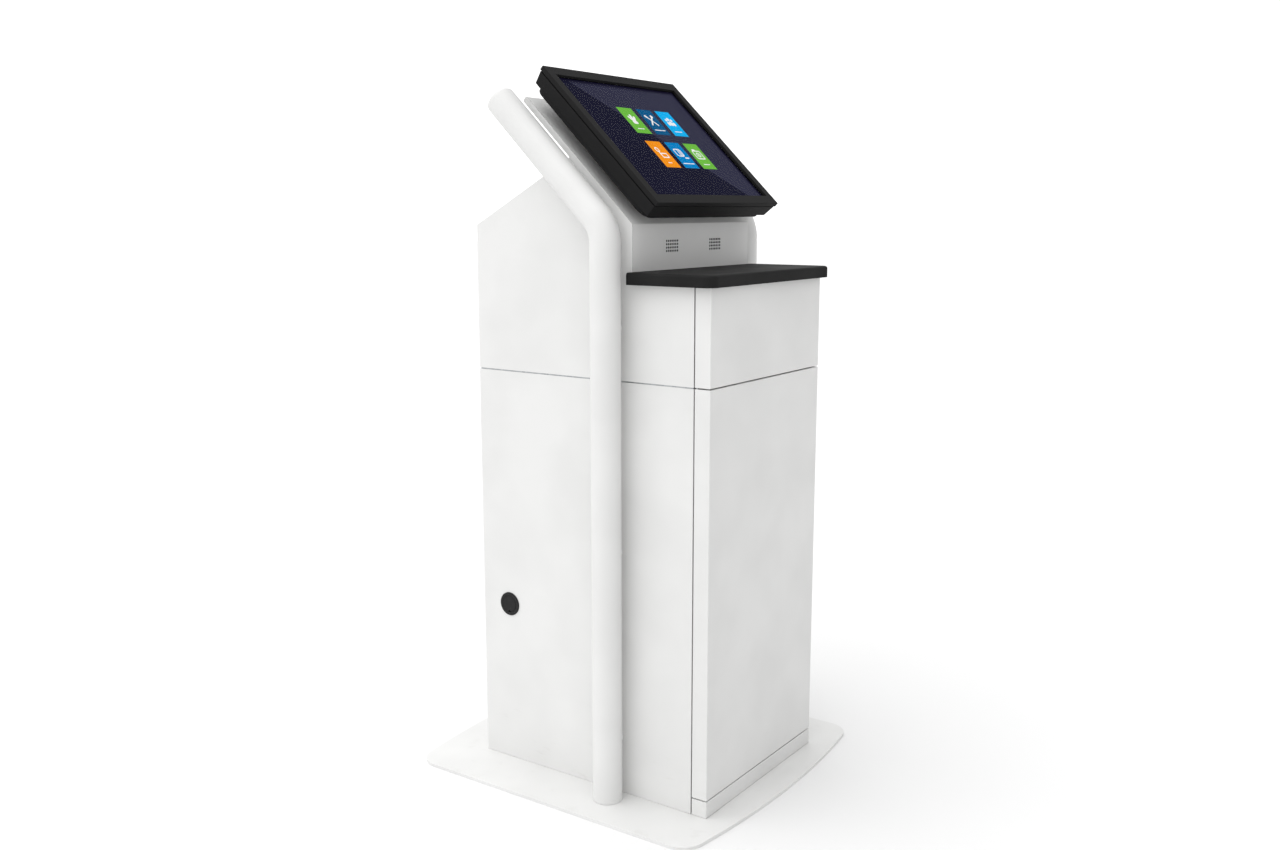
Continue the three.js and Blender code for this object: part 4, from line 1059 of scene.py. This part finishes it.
def lit_tile(code):
    """A tile's colour, up to a twelfth deeper in soft patches about 70 mm across."""
    deeper = tuple(0.92 * c for c in linear(code)[:3]) + (1.0,)

    def colour_of(tree, place):
        patches = add(tree, "TexNoise", {"Vector": place, "Scale": 1 / (70 * MM)})
        share = add(tree, "MapRange", {"Value": patches, "From Min": 0.3, "From Max": 0.7})
        return add(tree, "Mix", {0: share, 6: code, 7: deeper}, 2, data_type="RGBA")

    return colour_of


# each bar is (x, v, width, height, corner radius, turn in degrees, line width), in mm from the mark's middle
plant = [(0, -9, 15, 9, 4), (0, 4, 6, 17, 3), (-6, 1, 6, 15, 3, 32), (6, 1, 6, 15, 3, -32)]
tools = [(0, 0, 3.6, 34, 1.8, 40), (0, 0, 3.6, 34, 1.8, -40), (10, 12, 8, 8, 4, 0), (-9.5, 11, 6, 9, 2.5, 40)]
visitors = [(-8.5, 6, 7, 7, 3.5), (8.5, 6, 7, 7, 3.5), (0, 9, 8.5, 8.5, 4.2)]
visitors += [(-9, -4.5, 7.5, 10, 3), (9, -4.5, 7.5, 10, 3), (0, -3, 9, 13, 4)]
ticket = [(-7, 8, 12, 13, 5.9, 0, 2.6), (-7, -3, 2.6, 9, 1.2), (3, -7, 21, 13, 2, 0, 2.6)]
coach = [(-3, 3, 24, 21, 6, 0, 2.4), (-2, 3, 2.6, 19, 1.2), (3.5, 3, 2.6, 19, 1.2), (11, -11, 13, 3.4, 1.5)]
camera_mark = [(0, 0, 28, 24, 4, 0, 2.6), (0, 0, 13, 13, 6.4, 0, 2.2), (0, 0, 4, 4, 1.9)]
camera_mark += [(-5, 13.5, 10, 4, 1.5)]
mark_rise = 4
caption_drop = 22.5
caption_height = 2.2
caption_gap = 1
caption_corner = 0.6
white_marks = lit_finish("lit_white_marks", lit_tile("#f6f6f4"))
for name, column, row, code, picture, caption in (
    ("plant", -1, 1, "#6fbd44", plant, 22),
    ("tools", 0, 1, "#0f5a8a", tools, 36),
    ("visitors", 1, 1, "#13b2f3", visitors, 25),
    ("ticket", -1, -1, "#f7941d", ticket, 13),
    ("coach", 0, -1, "#0a84c8", coach, 38),
    ("camera", 1, -1, "#6fbd44", camera_mark, 22),
):
    centre = (tiles_middle[0] + column * tile_pitch[0], tiles_middle[1] + row * tile_pitch[1] / 2)
    tile = slab(rectangle(tile_width, tile_height, cut_edge), panel_front, tile_front)
    points, faces = on_head(tile + np.array([*centre, 0]))
    tile_finish = lit_finish(f"lit_{name}_tile", lit_tile(code))
    piece(f"tile_{name}", points, faces, tile_finish, "cabinet", sharp=30)
    marks = [mark(centre, x, v + mark_rise, *rest) for x, v, *rest in picture]
    # the caption's two dashes take two thirds and one third of its length
    for middle, share in ((-1 / 6, 2 / 3), (1 / 3, 1 / 3)):
        length = share * caption - caption_gap
        dash = mark(centre, middle * caption, -caption_drop, length, caption_height, caption_corner)
        marks.append(dash)
    points, faces = joined(marks)
    piece(f"pictogram_{name}", points, faces, white_marks, "cabinet", sharp=30)


# ---- Touch glass ----
# A pane of toughened glass with an anti-reflective coating, its edges ground, held between the bezel
# and the LCD module.
def coated_glass(name):
    """Toughened glass. Its anti-reflective coating leaves it hardly any mirror, as an IOR just above 1 does,
    and faint finger smears soften what shows through."""
    material, tree, place = new_finish(name)
    wiped = add(tree, "Mapping", {"Vector": place, "Scale": (1, 0.4, 0.4)})
    smears = add(tree, "TexNoise", {"Vector": wiped, "Scale": 1 / (35 * MM), "Detail": 5.0})
    close_finish(tree, {
        "Base Color": (0.97, 0.98, 0.98, 1),
        "Transmission Weight": 1.0,
        "IOR": 1.02,
        "Roughness": add(tree, "MapRange", {
            "Value": smears, "From Min": 0.6, "From Max": 0.8, "To Max": 0.015,
        }),
    })
    return material


glass = coated_glass("coated_touch_glass")
glass_front = 89.7 * MM
glass_back = 86.7 * MM
glass_lap = 5.5 * MM
pane_corner = 2 * MM
pane = rectangle(opening_width + 2 * glass_lap, opening_height + 2 * glass_lap, pane_corner)
profile = [(pane_corner, glass_back)] + quarter(cut_edge, glass_back + cut_edge, cut_edge, 180, 90, 3)
profile += quarter(cut_edge, glass_front - cut_edge, cut_edge, 90, 0, 3) + [(pane_corner, glass_front)]
points, faces = on_head(ring_stack(pane, profile))
piece("touch_pane", points, faces, glass, "cabinet", ["touch_glass"])

# ---- Monitor bezel ----
# A frame in textured black powder coat: mitred to sharp corners outside, with a 5 mm deep reveal down to
# the glass, and a spigot at the back that centres it in the housing.
face = 95 * MM
bezel_back = face - 8.7 * MM
glass_seat = face - 5 * MM
spigot_end = bezel_back - 7 * MM
spigot_outside = 7.4 * MM
spigot_wall = 1.5 * MM
rim_corner = 1.2 * MM
rim_round = 0.9 * MM
window_round = 0.6 * MM
pocket = 5.8 * MM
rim = rectangle(head_width, head_height, rim_corner)
window = rectangle(opening_width, opening_height, window_round)
outside = [(cut_edge, bezel_back), (0, bezel_back + cut_edge)]
outside += quarter(rim_round, face - rim_round, rim_round, 90, 0, 5) + [(4 * MM, face)]
reveal = [(-3 * MM, face)] + quarter(-window_round, face - window_round, window_round, 0, -90, 4)
reveal += [(0, glass_seat), (-pocket, glass_seat), (-pocket, bezel_back - cut_edge)]
spigot = [
    (spigot_outside + spigot_wall, bezel_back - cut_edge), (spigot_outside + spigot_wall, spigot_end),
    (spigot_outside, spigot_end), (spigot_outside, bezel_back),
]
rings = np.concatenate([ring_stack(rim, outside), ring_stack(window, reveal), ring_stack(rim, spigot)])
points, faces = on_head(rings, wrap=True)
piece("screen_bezel", points, faces, black_coat, "cabinet", ["monitor_bezel"])


# ---- Floor and light ----
# A plain white studio floor under a large soft dome, brightest overhead and behind its left, and one
# broad soft key light high above its left side. Past the floor the camera sees plain white.
def studio_floor(name):
    """Matt white paint with a faint unevenness about 0.4 m across."""
    material, tree, place = new_finish(name)
    mottle = add(tree, "TexNoise", {"Vector": place, "Scale": 1 / 0.4})
    close_finish(tree, {
        "Base Color": add(tree, "Mix", {0: mottle, 6: "#e5e5e5", 7: "#e7e7e7"}, 2, data_type="RGBA"),
        "Roughness": 0.9,
        "Specular IOR Level": 0.1,
    })
    return material


floor_radius = 40.0
floor_sides = 64
mesh = bpy.data.meshes.new("floor")
floor_rim = spun([(floor_radius, 0)], floor_sides)[0]
mesh.from_pydata(floor_rim.tolist(), [], [list(range(floor_sides))])
mesh.materials.append(studio_floor("matt_white_floor"))
floor = bpy.data.objects.new("floor", mesh)
bpy.context.scene.collection.objects.link(floor)

world = bpy.data.worlds.new("studio")
bpy.context.scene.world = world
world.use_nodes = True
studio = world.node_tree
studio.nodes.clear()
bright_side = (-0.32, 0.3, 0.52)
dome_level = 0.79
backdrop_level = 1.3
direction = add(studio, "TexCoord", {}, "Generated")
towards = add(studio, "VectorMath", {0: direction, 1: bright_side}, "Value", operation="DOT_PRODUCT")
dome = add(studio, "Math", {0: towards, 1: dome_level}, operation="ADD")
seen = add(studio, "LightPath", {}, "Is Camera Ray")
shown = add(studio, "Mix", {0: seen, 2: dome, 3: backdrop_level}, data_type="FLOAT")
sky = add(studio, "Background", {"Color": (1, 1, 1, 1), "Strength": shown})
add(studio, "OutputWorld", {"Surface": sky})
bpy.context.scene.view_settings.view_transform = "Standard"

key_from = (-0.25, 0.15, 0.95)
key_light = bpy.data.objects.new("key_light", bpy.data.lights.new("key_light", "SUN"))
bpy.context.scene.collection.objects.link(key_light)
key_light.data.energy = 0.75
key_light.data.angle = math.radians(60)
key_light.rotation_euler = Vector(key_from).to_track_quat("Z", "Y").to_euler()
